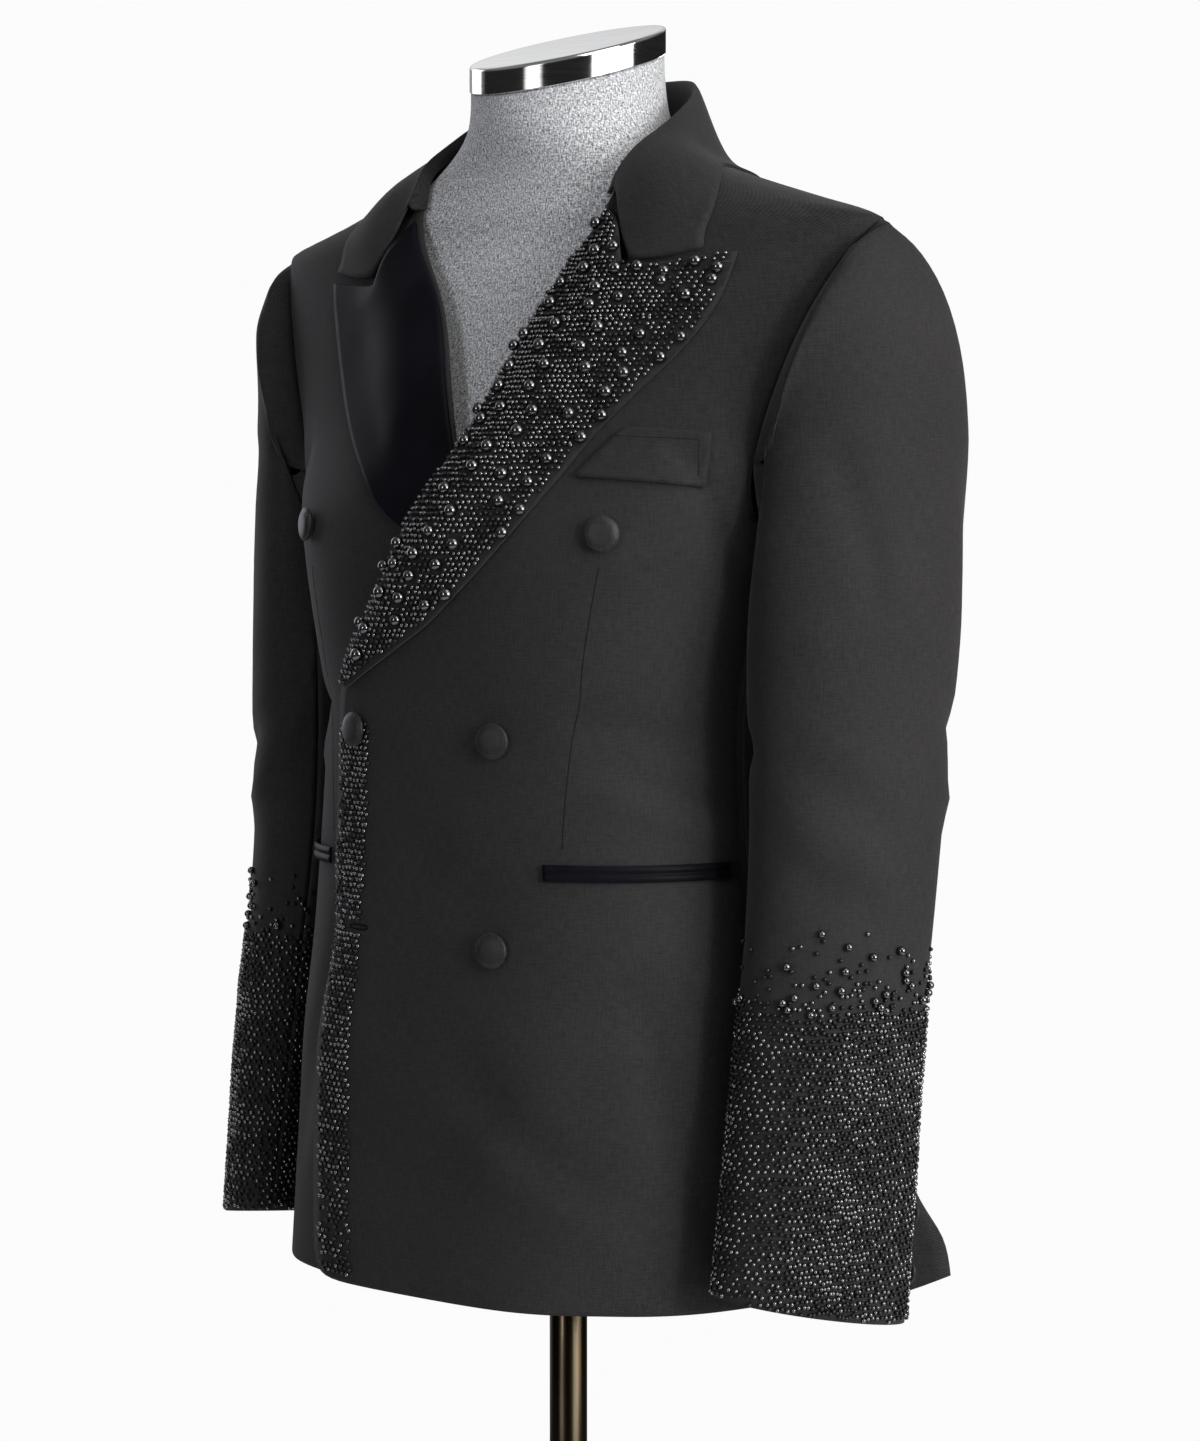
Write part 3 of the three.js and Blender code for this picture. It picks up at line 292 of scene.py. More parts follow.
def makeSatin(name, values, roughness=0.42):
    material, tree, shader = startMaterial(name, {
        "Roughness": roughness,
        "Specular IOR Level": 0.04,
        "Sheen Weight": 0.01,
        "Sheen Roughness": 0.3,
        "Sheen Tint": (0.7, 0.74, 0.85, 1),
    })
    along, up = clothPlace(tree)
    slant = mathNode(tree, "ADD", mathNode(tree, "MULTIPLY", along, 0.45), up)
    rib = mathNode(tree, "SINE", mathNode(tree, "MULTIPLY", slant, 2 * math.pi / values["thread"]))
    cloud = objectNoise(tree, 22.0, 3.0)
    mixed = mathNode(tree, "MULTIPLY_ADD", rib, values["rib"])
    tree.links.new(cloud, mixed.node.inputs[2])
    paintColour(tree, shader, mixed, [(0.3, values["dark"]), (0.75, values["light"])])
    varyGloss(tree, shader, objectNoise(tree, 60.0, 2.0), roughness - 0.05, roughness + 0.1)
    addBump(tree, shader, mixed, 0.18, 0.00015)
    return material


beadTones = {"dark": (0.002, 0.002, 0.0025), "light": (0.010, 0.010, 0.011)}


def makeBeads(name, values, smooth, rough, level):   # each bead has a tone of its own
    material, tree, shader = startMaterial(name, {
        "IOR": 1.5 + 0.4 * level,
        "Specular IOR Level": level,
    })
    tone = addNode(tree, "ShaderNodeAttribute", {"attribute_name": "tone"})
    paintColour(tree, shader, tone.outputs["Fac"], [(0.0, values["dark"]), (1.0, values["light"])])
    varyGloss(tree, shader, tone.outputs["Fac"], rough, smooth, (0.35, 0.7))
    addBump(tree, shader, objectNoise(tree, 900.0, 1.0), 0.04, 0.0001)
    return material


linenValues = {
    "dark": (0.06, 0.065, 0.07),
    "middle": (0.38, 0.39, 0.405),
    "light": (0.78, 0.79, 0.80),
}


def makeLinen(name, values):
    material, tree, shader = startMaterial(name, {
        "Roughness": 0.92,
        "Specular IOR Level": 0.25,
        "Sheen Weight": 0.25,
        "Sheen Roughness": 0.5,
    })
    both = mathNode(tree, "ADD", threadNoise(tree, (300, 900)), threadNoise(tree, (900, 240)))
    both = mathNode(tree, "MULTIPLY", both, 0.5)
    stops = [(0.38, values["dark"]), (0.5, values["middle"]), (0.61, values["light"])]
    paintColour(tree, shader, both, stops)
    addBump(tree, shader, both, 0.5, 0.0006)
    return material


def makeMetal(name, colour, roughness, streak, spread):
    material, tree, shader = startMaterial(name, {"Base Color": (*colour, 1), "Metallic": 1.0})
    place = addNode(tree, "ShaderNodeTexCoord")
    mapping = addNode(tree, "ShaderNodeMapping", None, {"Scale": streak})
    brushed = addNode(tree, "ShaderNodeTexNoise", None, {"Scale": 1.0, "Detail": 4.0, "Roughness": 0.6})
    tree.links.new(place.outputs["Object"], mapping.inputs["Vector"])
    tree.links.new(mapping.outputs[0], brushed.inputs["Vector"])
    varyGloss(tree, shader, brushed.outputs["Fac"], roughness, roughness + spread)
    dim = tuple(0.72 * part for part in colour)
    paintColour(tree, shader, brushed.outputs["Fac"], [(0.35, dim), (0.65, colour)])
    addBump(tree, shader, brushed.outputs["Fac"], 0.06, 0.0002)
    return material


def makeFloor():
    material, tree, shader = startMaterial("paleFloor", {"Roughness": 0.8})
    stops = [(0.3, (0.9, 0.9, 0.9)), (0.7, (0.91, 0.91, 0.915))]
    paintColour(tree, shader, objectNoise(tree, 0.6, 2.0), stops)
    return material


materials = {
    "twill": makeTwill("blackTwill", twillValues),
    "satin": makeSatin("blackSatin", satinValues),
    "beadGround": makeTwill("beadGround", groundValues),
    "buttonCloth": makeTwill("buttonCloth", buttonClothValues, 0.06, 0.4),
    "beads": makeBeads("glassBeads", beadTones, 0.07, 0.12, 0.95),
    "dullBeads": makeBeads("dullBeads", beadTones, 0.22, 0.4, 0.3),
    "pearls": makeBeads("blackPearls", beadTones, 0.05, 0.08, 0.75),
    # painted shade: a darker twill for the shadow in the seams' grooves
    "seamShade": makeTwill("seamShade", seamShadowValues),
    "linen": makeLinen("greyLinen", linenValues),
    "steel": makeMetal("polishedSteel", (0.80, 0.80, 0.79), 0.06, (30, 30, 900), 0.05),
    "bronze": makeMetal("darkBronze", (0.062, 0.048, 0.03), 0.16, (700, 700, 6), 0.12),
    "floor": makeFloor(),
}
print("materials made:", len(materials))


roundValues = {
    "body": 0.150,          # radius that the cloth of the body is measured round
    "sleeve": 0.056,
    "sleeveMiddle": 0.215,  # from the centre to a sleeve's middle
    "sleeveAxis": [         # height, depth of a sleeve's middle
        (0.80, -0.048), (0.86, -0.040), (0.95, -0.026), (1.05, -0.009), (1.105, -0.002), (1.19, 0.006),
        (1.27, 0.010), (1.33, 0.012), (1.40, 0.010), (1.50, 0.0),
    ],
    "bodyReach": 0.3,       # where a ray towards the cloth starts
    "sleeveReach": 0.11,
    "ease": 1.05,           # the weave's map is this much longer round the body
}
foldValues = {
    # where it starts and ends (degrees round, height), its width, its depth (below zero sinks)
    "body": [
        (44, 1.146, 74, 1.124, 0.0070, -0.0022),
        (48, 1.128, 78, 1.104, 0.0080, 0.0017),
        (40, 1.172, 66, 1.156, 0.0090, -0.0016),
        (12, 0.968, 40, 0.900, 0.0150, -0.0026),
        (20, 0.918, 48, 0.872, 0.0140, 0.0020),
        (52, 1.010, 66, 0.880, 0.0130, -0.0020),
        (-2, 1.090, 20, 1.062, 0.0100, -0.0014),
        (-30, 1.060, -48, 0.900, 0.0130, -0.0022),
        (-46, 1.180, -78, 1.140, 0.0090, -0.0024),
        (-50, 1.150, -80, 1.120, 0.0080, 0.0018),
        (62, 1.330, 74, 1.262, 0.0080, -0.0024),
        (-62, 1.335, -76, 1.262, 0.0080, -0.0026),
        (100, 1.330, 118, 1.215, 0.0110, -0.0030),
        (-100, 1.335, -120, 1.210, 0.0110, -0.0030),
        (128, 1.190, 168, 1.168, 0.0100, -0.0026),
        (122, 1.160, 164, 1.150, 0.0080, 0.0020),
        (-126, 1.185, -170, 1.172, 0.0100, -0.0024),
        (-120, 1.158, -160, 1.144, 0.0080, 0.0020),
        (140, 1.060, 150, 0.860, 0.0170, 0.0034),
        (-138, 1.060, -150, 0.860, 0.0170, 0.0034),
        (164, 0.980, 170, 0.840, 0.0140, -0.0026),
        (-165, 0.990, -170, 0.840, 0.0140, -0.0026),
        (150, 1.330, 172, 1.290, 0.0130, -0.0018),
        (-148, 1.335, -170, 1.290, 0.0130, -0.0018),
    ],
    "left": [
        (-96, 1.150, -20, 1.108, 0.0090, -0.0022),
        (-90, 1.112, -24, 1.082, 0.0080, 0.0018),
        (-84, 1.076, -10, 1.052, 0.0090, -0.0018),
        (30, 1.178, 92, 1.140, 0.0100, -0.0022),
        (40, 1.128, 100, 1.102, 0.0100, 0.0018),
        (-70, 1.330, -40, 1.240, 0.0110, -0.0020),
        (44, 1.320, 70, 1.240, 0.0120, -0.0018),
        (-60, 0.990, 10, 0.930, 0.0130, 0.0014),
        (120, 1.150, 176, 1.110, 0.0090, -0.0022),
        (-176, 1.180, -120, 1.150, 0.0090, -0.0022),
    ],
    "right": [
        (-100, 1.160, -26, 1.122, 0.0090, -0.0024),
        (-92, 1.120, -30, 1.092, 0.0080, 0.0018),
        (-80, 1.040, -6, 1.012, 0.0100, -0.0016),
        (34, 1.186, 96, 1.150, 0.0100, -0.0022),
        (36, 1.132, 104, 1.108, 0.0100, 0.0018),
        (-66, 1.336, -36, 1.246, 0.0110, -0.0022),
        (-56, 0.985, 12, 0.935, 0.0130, 0.0014),
        (120, 1.160, 176, 1.120, 0.0090, -0.0020),
        (-176, 1.180, -120, 1.150, 0.0090, -0.0022),
    ],
    "unevenness": 0.0004,
    "strength": 1.8,
    "calmFrom": 1.36,     # above it the folds die out towards the shoulders
    "calmOver": 0.08,
}


def readTable(rows, at):
    if at <= rows[0][0]:
        return rows[0][1]
    for (low, first), (high, second) in zip(rows, rows[1:]):
        if at <= high:
            return first + (second - first) * (at - low) / (high - low)
    return rows[-1][1]


def middleOf(part, height):   # the middle line of the body or of one sleeve
    if part == "body":
        return Vector((0, 0, height))
    side = 1 if part == "left" else -1
    depth = readTable(roundValues["sleeveAxis"], height)
    return Vector((side * roundValues["sleeveMiddle"], depth, height))


def clothFrame(point, part):   # how far round the cloth a point is, and which way is out
    away = point - middleOf(part, point.z)
    across = away.x if part != "right" else -away.x
    turn = math.atan2(across, -away.y) if part == "body" else math.atan2(away.y, across)
    radius = roundValues["body" if part == "body" else "sleeve"]
    return turn * radius, away.normalized(), radius


def foldShift(point, part):   # how far all folds together move a point of the cloth
    along, away, radius = clothFrame(point, part)
    out = 0.0
    for startTurn, startZ, endTurn, endZ, width, depth in foldValues[part]:
        start = Vector((math.radians(startTurn) * radius, startZ))
        run = Vector((math.radians(endTurn) * radius, endZ)) - start
        here = Vector((along, point.z)) - start
        share = here.dot(run) / run.length_squared
        if share < -0.3 or share > 1.3:
            continue
        near = min(1.0, max(0.0, share))
        sway = 0.004 * noise.noise(Vector((share * 2.3, startZ * 31, startTurn * 0.13)))
        distance = (here - run * near).length - sway * (1 if run.cross(here) > 0 else -1)
        if abs(distance) > 3 * width:
            continue
        taper = math.sin(math.pi * min(1.0, max(0.0, (share + 0.3) / 1.6))) ** 0.8
        uneven = 1 + 0.45 * noise.noise(Vector((share * 3.1, startZ * 17, 5.0)))
        out += depth * taper * uneven * math.exp(-((distance / width) ** 2))
    out += foldValues["unevenness"] * noise.noise(point * 16)
    calm = foldValues["calmFrom"] + foldValues["calmOver"] - point.z
    calm = min(1.0, max(0.0, calm / foldValues["calmOver"]))
    return away * (out * calm * foldValues["strength"])


def settle(bm, part):
    for vert in bm.verts:
        vert.co += foldShift(vert.co, part)


def paintWeave(mesh, part):
    layer = mesh.uv_layers.new(name="weave")
    for face in mesh.polygons:
        values = []
        for loop in face.loop_indices:
            point = mesh.vertices[mesh.loops[loop].vertex_index].co
            along, _, radius = clothFrame(point, part)
            values.append([loop, along * roundValues["ease"], point.z])
        spread = max(value[1] for value in values) - min(value[1] for value in values)
        for loop, along, height in values:
            if spread > math.pi * radius and along < 0:   # a face across the turning point
                along += 2 * math.pi * radius * roundValues["ease"]
            layer.data[loop].uv = (along, height)


def mergedCopy(node):
    bm = bmesh.new()
    bm.from_mesh(cadNodes[node].data)
    bmesh.ops.remove_doubles(bm, verts=bm.verts, dist=0.00002)
    return bm


def pieceFrom(bm, name, material, smooth=True):
    mesh = bpy.data.meshes.new(name)
    bm.to_mesh(mesh)
    bm.free()
    mesh.materials.append(materials[material])
    for face in mesh.polygons:
        face.use_smooth = smooth
    piece = bpy.data.objects.new(name, mesh)
    bpy.context.scene.collection.objects.link(piece)
    return piece


def treeOf(nodes):
    bm = bmesh.new()
    for node in nodes:
        bm.from_mesh(cadNodes[node].data)
    tree = BVHTree.FromBMesh(bm)
    bm.free()
    return tree


bodyTree = treeOf(("front_left", "front_right", "back_left", "back_right", "side_left", "side_right"))
topTrees = {side: treeOf(["sleeve_top_" + side]) for side in ("left", "right")}

joinValues = {
    "headDraw": 0.0028,        # how far a sleeve's head sinks into its armhole
    "headReach": 0.0027,       # what lies this near the body counts as the head's edge
    "headFrom": 1.262,         # height of the armhole's foot
    "shoulderFrom": 1.375,
    "shoulderShare": 0.45,     # the head sinks less on the shoulder
    "inward": (0.12, -0.02),   # where it sinks to: across, and below its own height
    "seamFrom": 1.2,
    "seamReach": 0.012,        # gap between the sleeve's two pieces that is closed before rounding
    "seamRest": 0.0028,        # and after it
    "collarDrop": 0.0011,
    "collarRange": (0.0004, 0.0045),
    "collarRest": 0.0002,      # gap that stays under the collar's edge
}


def drawIn(bm, side):
    across, below = joinValues["inward"]
    sign = 1 if side == "left" else -1
    for vert in bm.verts:
        if vert.co.z < joinValues["headFrom"]:
            continue
        place, _, _, distance = bodyTree.find_nearest(vert.co)
        if place is None or distance > joinValues["headReach"]:
            continue
        inward = Vector((sign * across, 0, vert.co.z + below)) - vert.co
        share = joinValues["shoulderShare"] if vert.co.z > joinValues["shoulderFrom"] else 1.0
        vert.co += inward.normalized() * joinValues["headDraw"] * share


def closeSeam(bm, tree, reach):   # an under sleeve's edge meets its top sleeve below the armhole
    for vert in bm.verts:
        if vert.co.z < joinValues["seamFrom"]:
            continue
        place, _, _, distance = tree.find_nearest(vert.co)
        if place is not None and distance < reach:
            vert.co = place


def layDown(bm):   # the collar's free edge settles on the shoulders
    nearest, furthest = joinValues["collarRange"]
    for vert in bm.verts:
        place, _, _, distance = bodyTree.find_nearest(vert.co)
        if place is not None and nearest < distance < furthest:
            drop = min(distance - joinValues["collarRest"], joinValues["collarDrop"])
            vert.co += (place - vert.co).normalized() * drop


def rounded(bm, creaseAngle, levels=2):   # the faceted solid made smooth between its sharp edges
    bmesh.ops.join_triangles(bm, faces=bm.faces, angle_face_threshold=0.9, angle_shape_threshold=1.2)
    crease = bm.edges.layers.float.new("crease_edge")
    for edge in bm.edges:
        if len(edge.link_faces) == 2 and edge.calc_face_angle(0.0) > creaseAngle:
            edge[crease] = 1.0
    mesh = bpy.data.meshes.new("rough")
    bm.to_mesh(mesh)
    bm.free()
    rough = bpy.data.objects.new("rough", mesh)
    bpy.context.scene.collection.objects.link(rough)
    divide = rough.modifiers.new("divide", "SUBSURF")
    divide.levels = levels
    divide.render_levels = levels
    divide.boundary_smooth = "PRESERVE_CORNERS"
    graph = bpy.context.evaluated_depsgraph_get()
    finer = bmesh.new()
    finer.from_object(rough, graph)
    bpy.data.objects.remove(rough)
    return finer


clothValues = {
    # node: part, finish, record slot, flat cut (width, length), its area, how it is held, on what
    "front_left": ("body", "twill", "twill", (0.317, 0.742), 0.183, "draped", "form_torso"),
    "front_right": ("body", "twill", "twill", (0.310, 0.742), 0.1836, "draped", "form_torso"),
    "side_left": ("body", "twill", "twill", (0.109, 0.470), 0.0362, "draped", "front_left"),
    "side_right": ("body", "twill", "twill", (0.109, 0.470), 0.0362, "draped", "front_right"),
    "back_left": ("body", "twill", "twill", (0.268, 0.722), 0.1394, "draped", "form_torso"),
    "back_right": ("body", "twill", "twill", (0.268, 0.722), 0.1394, "draped", "form_torso"),
    "lapel_left": ("body", "beadGround", "beaded_cloth", (0.127, 0.360), 0.0258, "draped", "front_left"),
    "lapel_right": ("body", "satin", "satin", (0.109, 0.225), 0.0163, "draped", "front_right"),
    "collar": ("body", "twill", "twill", (0.095, 0.560), 0.0477, "draped", "form_torso"),
    "sleeve_top_left": ("left", "twill", "twill", (0.251, 0.660), 0.1245, "draped", "front_left"),
    "sleeve_top_right": ("right", "twill", "twill", (0.251, 0.660), 0.1245, "draped", "front_right"),
    "sleeve_under_left": ("left", "twill", "twill", (0.162, 0.510), 0.0665, "draped", "front_left"),
    "sleeve_under_right": ("right", "twill", "twill", (0.162, 0.510), 0.0665, "draped", "front_right"),
    "chest_welt": ("body", "twill", "twill", (0.0815, 0.0345), 0.0023, "stretched", "front_left"),
    "hip_jets_left": ("body", "satin", "satin", (0.1224, 0.0135), 0.0014, "stretched", "front_left"),
    "hip_jets_right": ("body", "satin", "satin", (0.1224, 0.0135), 0.0014, "stretched", "front_right"),
}


def pearlSeats(bm):   # the tops of the raised points in the solid lapel, each with eight even edges
    seats = []
    for vert in bm.verts:
        lengths = [edge.calc_length() for edge in vert.link_edges]
        if len(lengths) == 8 and min(lengths) > 0.0036 and max(lengths) < 0.0043:
            ring = Vector()
            for edge in vert.link_edges:
                ring += edge.other_vert(vert).co / 8
            seats.append((vert.co.copy(), (vert.co - ring).normalized()))
    return seats


clothTrees = {}
pearls = []
for node, (part, finish, slot, cut, area, held, carrier) in clothValues.items():
    bm = mergedCopy(node)
    if node == "lapel_left":
        pearls = pearlSeats(bm)
    if node == "collar":
        layDown(bm)
    if node.startswith("sleeve_under_"):
        closeSeam(bm, topTrees[part], joinValues["seamReach"])
    if node.startswith("sleeve_"):
        drawIn(bm, part)
    bm = rounded(bm, math.radians(52))
    settle(bm, part)
    if node.startswith("sleeve_under_"):
        closeSeam(bm, clothTrees["sleeve_top_" + part], joinValues["seamRest"])
    bmesh.ops.recalc_face_normals(bm, faces=bm.faces)
    clothTrees[node] = BVHTree.FromBMesh(bm)
    half = sum(face.calc_area() for face in bm.faces) / 2
    piece = pieceFrom(bm, node + "_cloth", finish)
    paintWeave(piece.data, part)
    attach(piece, "root")
    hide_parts(node)
    print(node, "half surface", round(half, 5), "stated", area, "faces", len(piece.data.polygons))
pearls = [(place + foldShift(place, "body"), axis) for place, axis in pearls]
print("cloth made,", len(pearls), "pearl seats")


beadSizes = {
    "bead": 0.00142,        # radius of a small bead
    "smallest": 0.9,
    "largest": 1.08,
    "sunk": 0.25,           # share of its radius that a bead lies in the cloth
    "sides": 7,
    "rings": 4,
    "patches": 55,          # scale of the patches that sparkle together
}


def clothRay(tree, part, along, height):   # the cloth's outer face, this far round and this high
    if part == "body":
        turn, reach = along / roundValues["body"], roundValues["bodyReach"]
        away = Vector((math.sin(turn), -math.cos(turn), 0))
    else:
        turn, reach = along / roundValues["sleeve"], roundValues["sleeveReach"]
        away = Vector(((1 if part == "left" else -1) * math.cos(turn), math.sin(turn), 0))
    hit, normal, _, _ = tree.ray_cast(middleOf(part, height) + away * reach, -away, reach)
    if hit is None:
        return None
    return hit, normal if normal.dot(away) > 0 else -normal


def rowsOf(trees, part, reach, spacing, seed, keep, avoid=None, unevenness=0.13):   # rows of bead places
    chance = random.Random(seed)
    firstAlong, lastAlong, low, high = reach
    seats = []
    height, row = low, 0
    while height < high:
        along = firstAlong + (spacing / 2 if row % 2 else 0.0)
        while along < lastAlong:
            beadAlong = along + spacing * chance.uniform(-unevenness, unevenness)
            beadHeight = height + spacing * chance.uniform(-unevenness, unevenness)
            found = None
            for tree in trees:
                found = found or clothRay(tree, part, beadAlong, beadHeight)
            along += spacing
            if found is None or keep(found[0], found[1], beadAlong, beadHeight) < chance.random():
                continue
            if avoid and any(abs(found[0].z - place.z) < gap and (found[0] - place).length < gap
                             for place, gap in avoid):
                continue
            seats.append(found)
        height += spacing * 0.87
        row += 1
    return seats


def beadPiece(name, seats, shape, material, seed, sink=beadSizes["sunk"], batch=60, dull=0.0):
    radius, sides, rings = shape
    chance = random.Random(seed)
    whole = bmesh.new()
    whole.verts.layers.float.new("tone")
    for first in range(0, len(seats), batch):
        part = bmesh.new()
        tone = part.verts.layers.float.new("tone")
        for point, normal in seats[first:first + batch]:
            size = radius * chance.uniform(beadSizes["smallest"], beadSizes["largest"])
            turn = normal.to_track_quat("Z", "Y").to_matrix().to_4x4()
            place = Matrix.Translation(point + normal * size * (1 - sink)) @ turn
            made = bmesh.ops.create_uvsphere(part, u_segments=sides, v_segments=rings, radius=size,
                                             matrix=place)
            shade = 0.75 * chance.random() + 0.125 + 0.5 * noise.noise(point * beadSizes["patches"])
            if shade < dull:   # these beads take the duller finish
                for face in {face for vert in made["verts"] for face in vert.link_faces}:
                    face.material_index = 1
            for vert in made["verts"]:
                vert[tone] = shade
        mesh = bpy.data.meshes.new("batch")
        part.to_mesh(mesh)
        part.free()
        whole.from_mesh(mesh)
        bpy.data.meshes.remove(mesh)
    piece = pieceFrom(whole, name, material)
    if dull:
        piece.data.materials.append(materials["dullBeads"])
    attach(piece, "root")
    print(name, len(seats), "beads,", len(piece.data.polygons), "faces")
    return piece


smallBead = (beadSizes["bead"], beadSizes["sides"], beadSizes["rings"])
lapelBeadValues = {
    "reach": (-0.12, 0.20, 1.155, 1.50),   # first and last place round the body, lowest and highest
    "pearl": (0.0039, 18, 12),             # radius, sides, rings
    "pearlSink": 0.0030,                   # from a raised point's top down to its pearl's middle
    "pearlSpacing": 0.0205,
    "pearlGap": 0.0150,
    "pearlInset": 0.007,                   # from the lapel's edge
    "pearlLift": 0.0012,
    "rollPearls": (1.467, 1.394, 1.356, 1.262, 1.228),   # heights of the pearls on the lapel's fold
    "rollShift": (-0.0012, -0.0004, 0.0008),
    "rollStep": 0.0006,
    "beadGap": 0.0052,                     # a bead keeps this far from a pearl's middle
    "beadInset": 0.0028,
    "rows": ((1.155, 1.335, 0.0038, 11), (1.335, 1.41, 0.0035, 13), (1.41, 1.50, 0.0031, 14)),
    "dull": 0.33,                          # rows: from, to, spacing, seed
}


def onLapel(inset):   # keeps what lies well within the lapel's edge
    tree = clothTrees["lapel_left"]

    def keep(point, normal, along, height):
        if point.y > 0.0 or clothRay(tree, "body", along + inset, height - inset * 0.6) is None:
            return 0.0
        return 1.0
    return keep


def rollEdge(height, values):   # the lapel's fold over the opening, at one height
    along, last = values["reach"][:2]
    while along < last:
        found = clothRay(clothTrees["lapel_left"], "body", along, height)
        if found:
            return found
        along += values["rollStep"]
    return None


def pearlPlaces(values):
    raised = [(place - axis * values["pearlSink"], axis) for place, axis in pearls]
    avoid = [(centre, values["pearlGap"]) for centre, _ in raised]
    between = rowsOf([clothTrees["lapel_left"]], "body", values["reach"], values["pearlSpacing"], 7,
                     onLapel(values["pearlInset"]), avoid, 0.22)
    more = [(place + axis * values["pearlLift"], axis) for place, axis in between]
    for height in values["rollPearls"]:
        found = rollEdge(height, values)
        if found:
            more.append((found[0] + Vector(values["rollShift"]), found[1]))
    return raised + more


def lapelBeadPlaces(values, pearlCentres):
    avoid = [(centre, values["beadGap"]) for centre, _ in pearlCentres]
    places = []
    for low, high, spacing, seed in values["rows"]:
        reach = (*values["reach"][:2], low, high)
        places += rowsOf([clothTrees["lapel_left"]], "body", reach, spacing, seed,
                         onLapel(values["beadInset"]), avoid)
    return places


pearlCentres = pearlPlaces(lapelBeadValues)
lapelPearls = beadPiece("lapel_pearls", pearlCentres, lapelBeadValues["pearl"], "pearls", 3, sink=1.0)
lapelBeads = beadPiece("lapel_beads", lapelBeadPlaces(lapelBeadValues, pearlCentres), smallBead, "beads", 12,
                       dull=lapelBeadValues["dull"])


def buttonSeat(node):   # foot, axis, radius and height of a solid button, from its two poles
    bm = mergedCopy(node)
    poles = [vert for vert in bm.verts if len(vert.link_edges) == 12]
    first, second = poles[0].co.copy(), poles[1].co.copy()
    flat = []
    for pole in poles:
        ring = Vector()
        for edge in pole.link_edges:
            ring += edge.other_vert(pole).co / 12
        flat.append((ring - pole.co).length)
    if flat[0] > flat[1]:
        first, second = second, first
    height = (second - first).length
    axis = (second - first) / height
    radius = max(((vert.co - first) - axis * (vert.co - first).dot(axis)).length for vert in bm.verts)
    bm.free()
    return first, axis, radius, height


sleeveBeadValues = {
    "spacing": 0.0041,
    "heights": (0.815, 1.07),
    "ends": {"left": (21, 1.004), "right": (22, 1.02)},   # seed, height where the beads begin to thin out
    "fade": 0.048,            # over this height
    "hem": 0.0015,
    "plain": (0.925, 0.262),  # below this height and beyond this side the buttons stand on bare cloth
    "buttonGap": 0.0092,
    "bead": (beadSizes["bead"], 6, 4),
    "pearl": (0.0026, 12, 8),
    "pearlEvery": 6,
    "dull": 0.52,
}


def sleeveKeep(trees, side, sparseFrom, values):
    fade = values["fade"]

    def keep(point, normal, along, height):
        if not any(clothRay(tree, side, along, height - values["hem"]) for tree in trees):
            return 0.0
        if height > sparseFrom + fade:
            return 0.0
        if height > sparseFrom:
            return 0.05 + 0.5 * ((sparseFrom + fade - height) / fade) ** 2
        if height < values["plain"][0] and abs(point.x) > values["plain"][1]:
            return 0.0
        return 1.0
    return keep


def sewSleeveBeads(side, values):
    seed, sparseFrom = values["ends"][side]
    trees = [clothTrees["sleeve_top_" + side], clothTrees["sleeve_under_" + side]]
    half = math.pi * roundValues["sleeve"]
    buttons = [node for node in cadNodes if node.startswith("cuff_button_" + side)]
    avoid = [(buttonSeat(node)[0], values["buttonGap"]) for node in buttons]
    seats = rowsOf(trees, side, (-half, half, *values["heights"]), values["spacing"], seed,
                   sleeveKeep(trees, side, sparseFrom, values), avoid, 0.2)
    sparse = [seat for seat in seats if seat[0].z > sparseFrom]
    big = sparse[::values["pearlEvery"]]
    chosen = {id(seat) for seat in big}
    small = [seat for seat in seats if id(seat) not in chosen]
    return [
        beadPiece(f"sleeve_beads_{side}", small, values["bead"], "beads", seed + 5, dull=values["dull"]),
        beadPiece(f"sleeve_pearls_{side}", big, values["pearl"], "pearls", seed + 9),
    ]


sleeveBeads = {side: sewSleeveBeads(side, sleeveBeadValues) for side in ("left", "right")}

stripValues = {
    "edge": [   # height, where the left front's free edge is
        (0.82, -0.072), (0.835, -0.080), (0.96, -0.085), (1.035, -0.083), (1.10, -0.079), (1.17, -0.075),
    ],
    "inset": 0.0035,
    "width": 0.033,
    "reach": (-0.12, -0.03, 0.83, 1.168),
    "spacing": 0.0039,
    "hole": ((-0.061, -0.057, -0.053, -0.049, -0.045), 1.042),   # the buttonhole stays bare
    "holeGap": 0.0034,
    "dull": 0.4,
}


def stripKeep(point, normal, along, height):
    inset = point.x - readTable(stripValues["edge"], point.z)
    if normal.y > -0.3 or inset < stripValues["inset"] or inset > stripValues["width"]:
        return 0.0
    return 1.0 if height > 0.89 else 0.8


def sewStripBeads(values):
    trees = [clothTrees["front_left"]]
    places, height = values["hole"]
    holeRow = [math.atan2(x, 0.13) * roundValues["body"] for x in places]
    avoid = [(clothRay(trees[0], "body", along, height)[0], values["holeGap"]) for along in holeRow]
    seats = rowsOf(trees, "body", values["reach"], values["spacing"], 31, stripKeep, avoid)
    return beadPiece("front_beads", seats, smallBead, "beads", 32, dull=values["dull"])


stripBeads = sewStripBeads(stripValues)
print("beads placed")

buttonValues = {
    "steps": 48,
    "puckers": 14,
    "puckerFrom": 0.8,        # share of the radius
    "puckerDepth": 0.00012,
    "profile": [              # shares of the radius and of the height
        (0.0, 0.0), (0.74, 0.0), (0.84, 0.06), (0.97, 0.22), (1.0, 0.4), (0.985, 0.56), (0.93, 0.68),
        (0.885, 0.7), (0.85, 0.74), (0.76, 0.86), (0.55, 0.95), (0.28, 0.99), (0.0, 1.0),
    ],
}


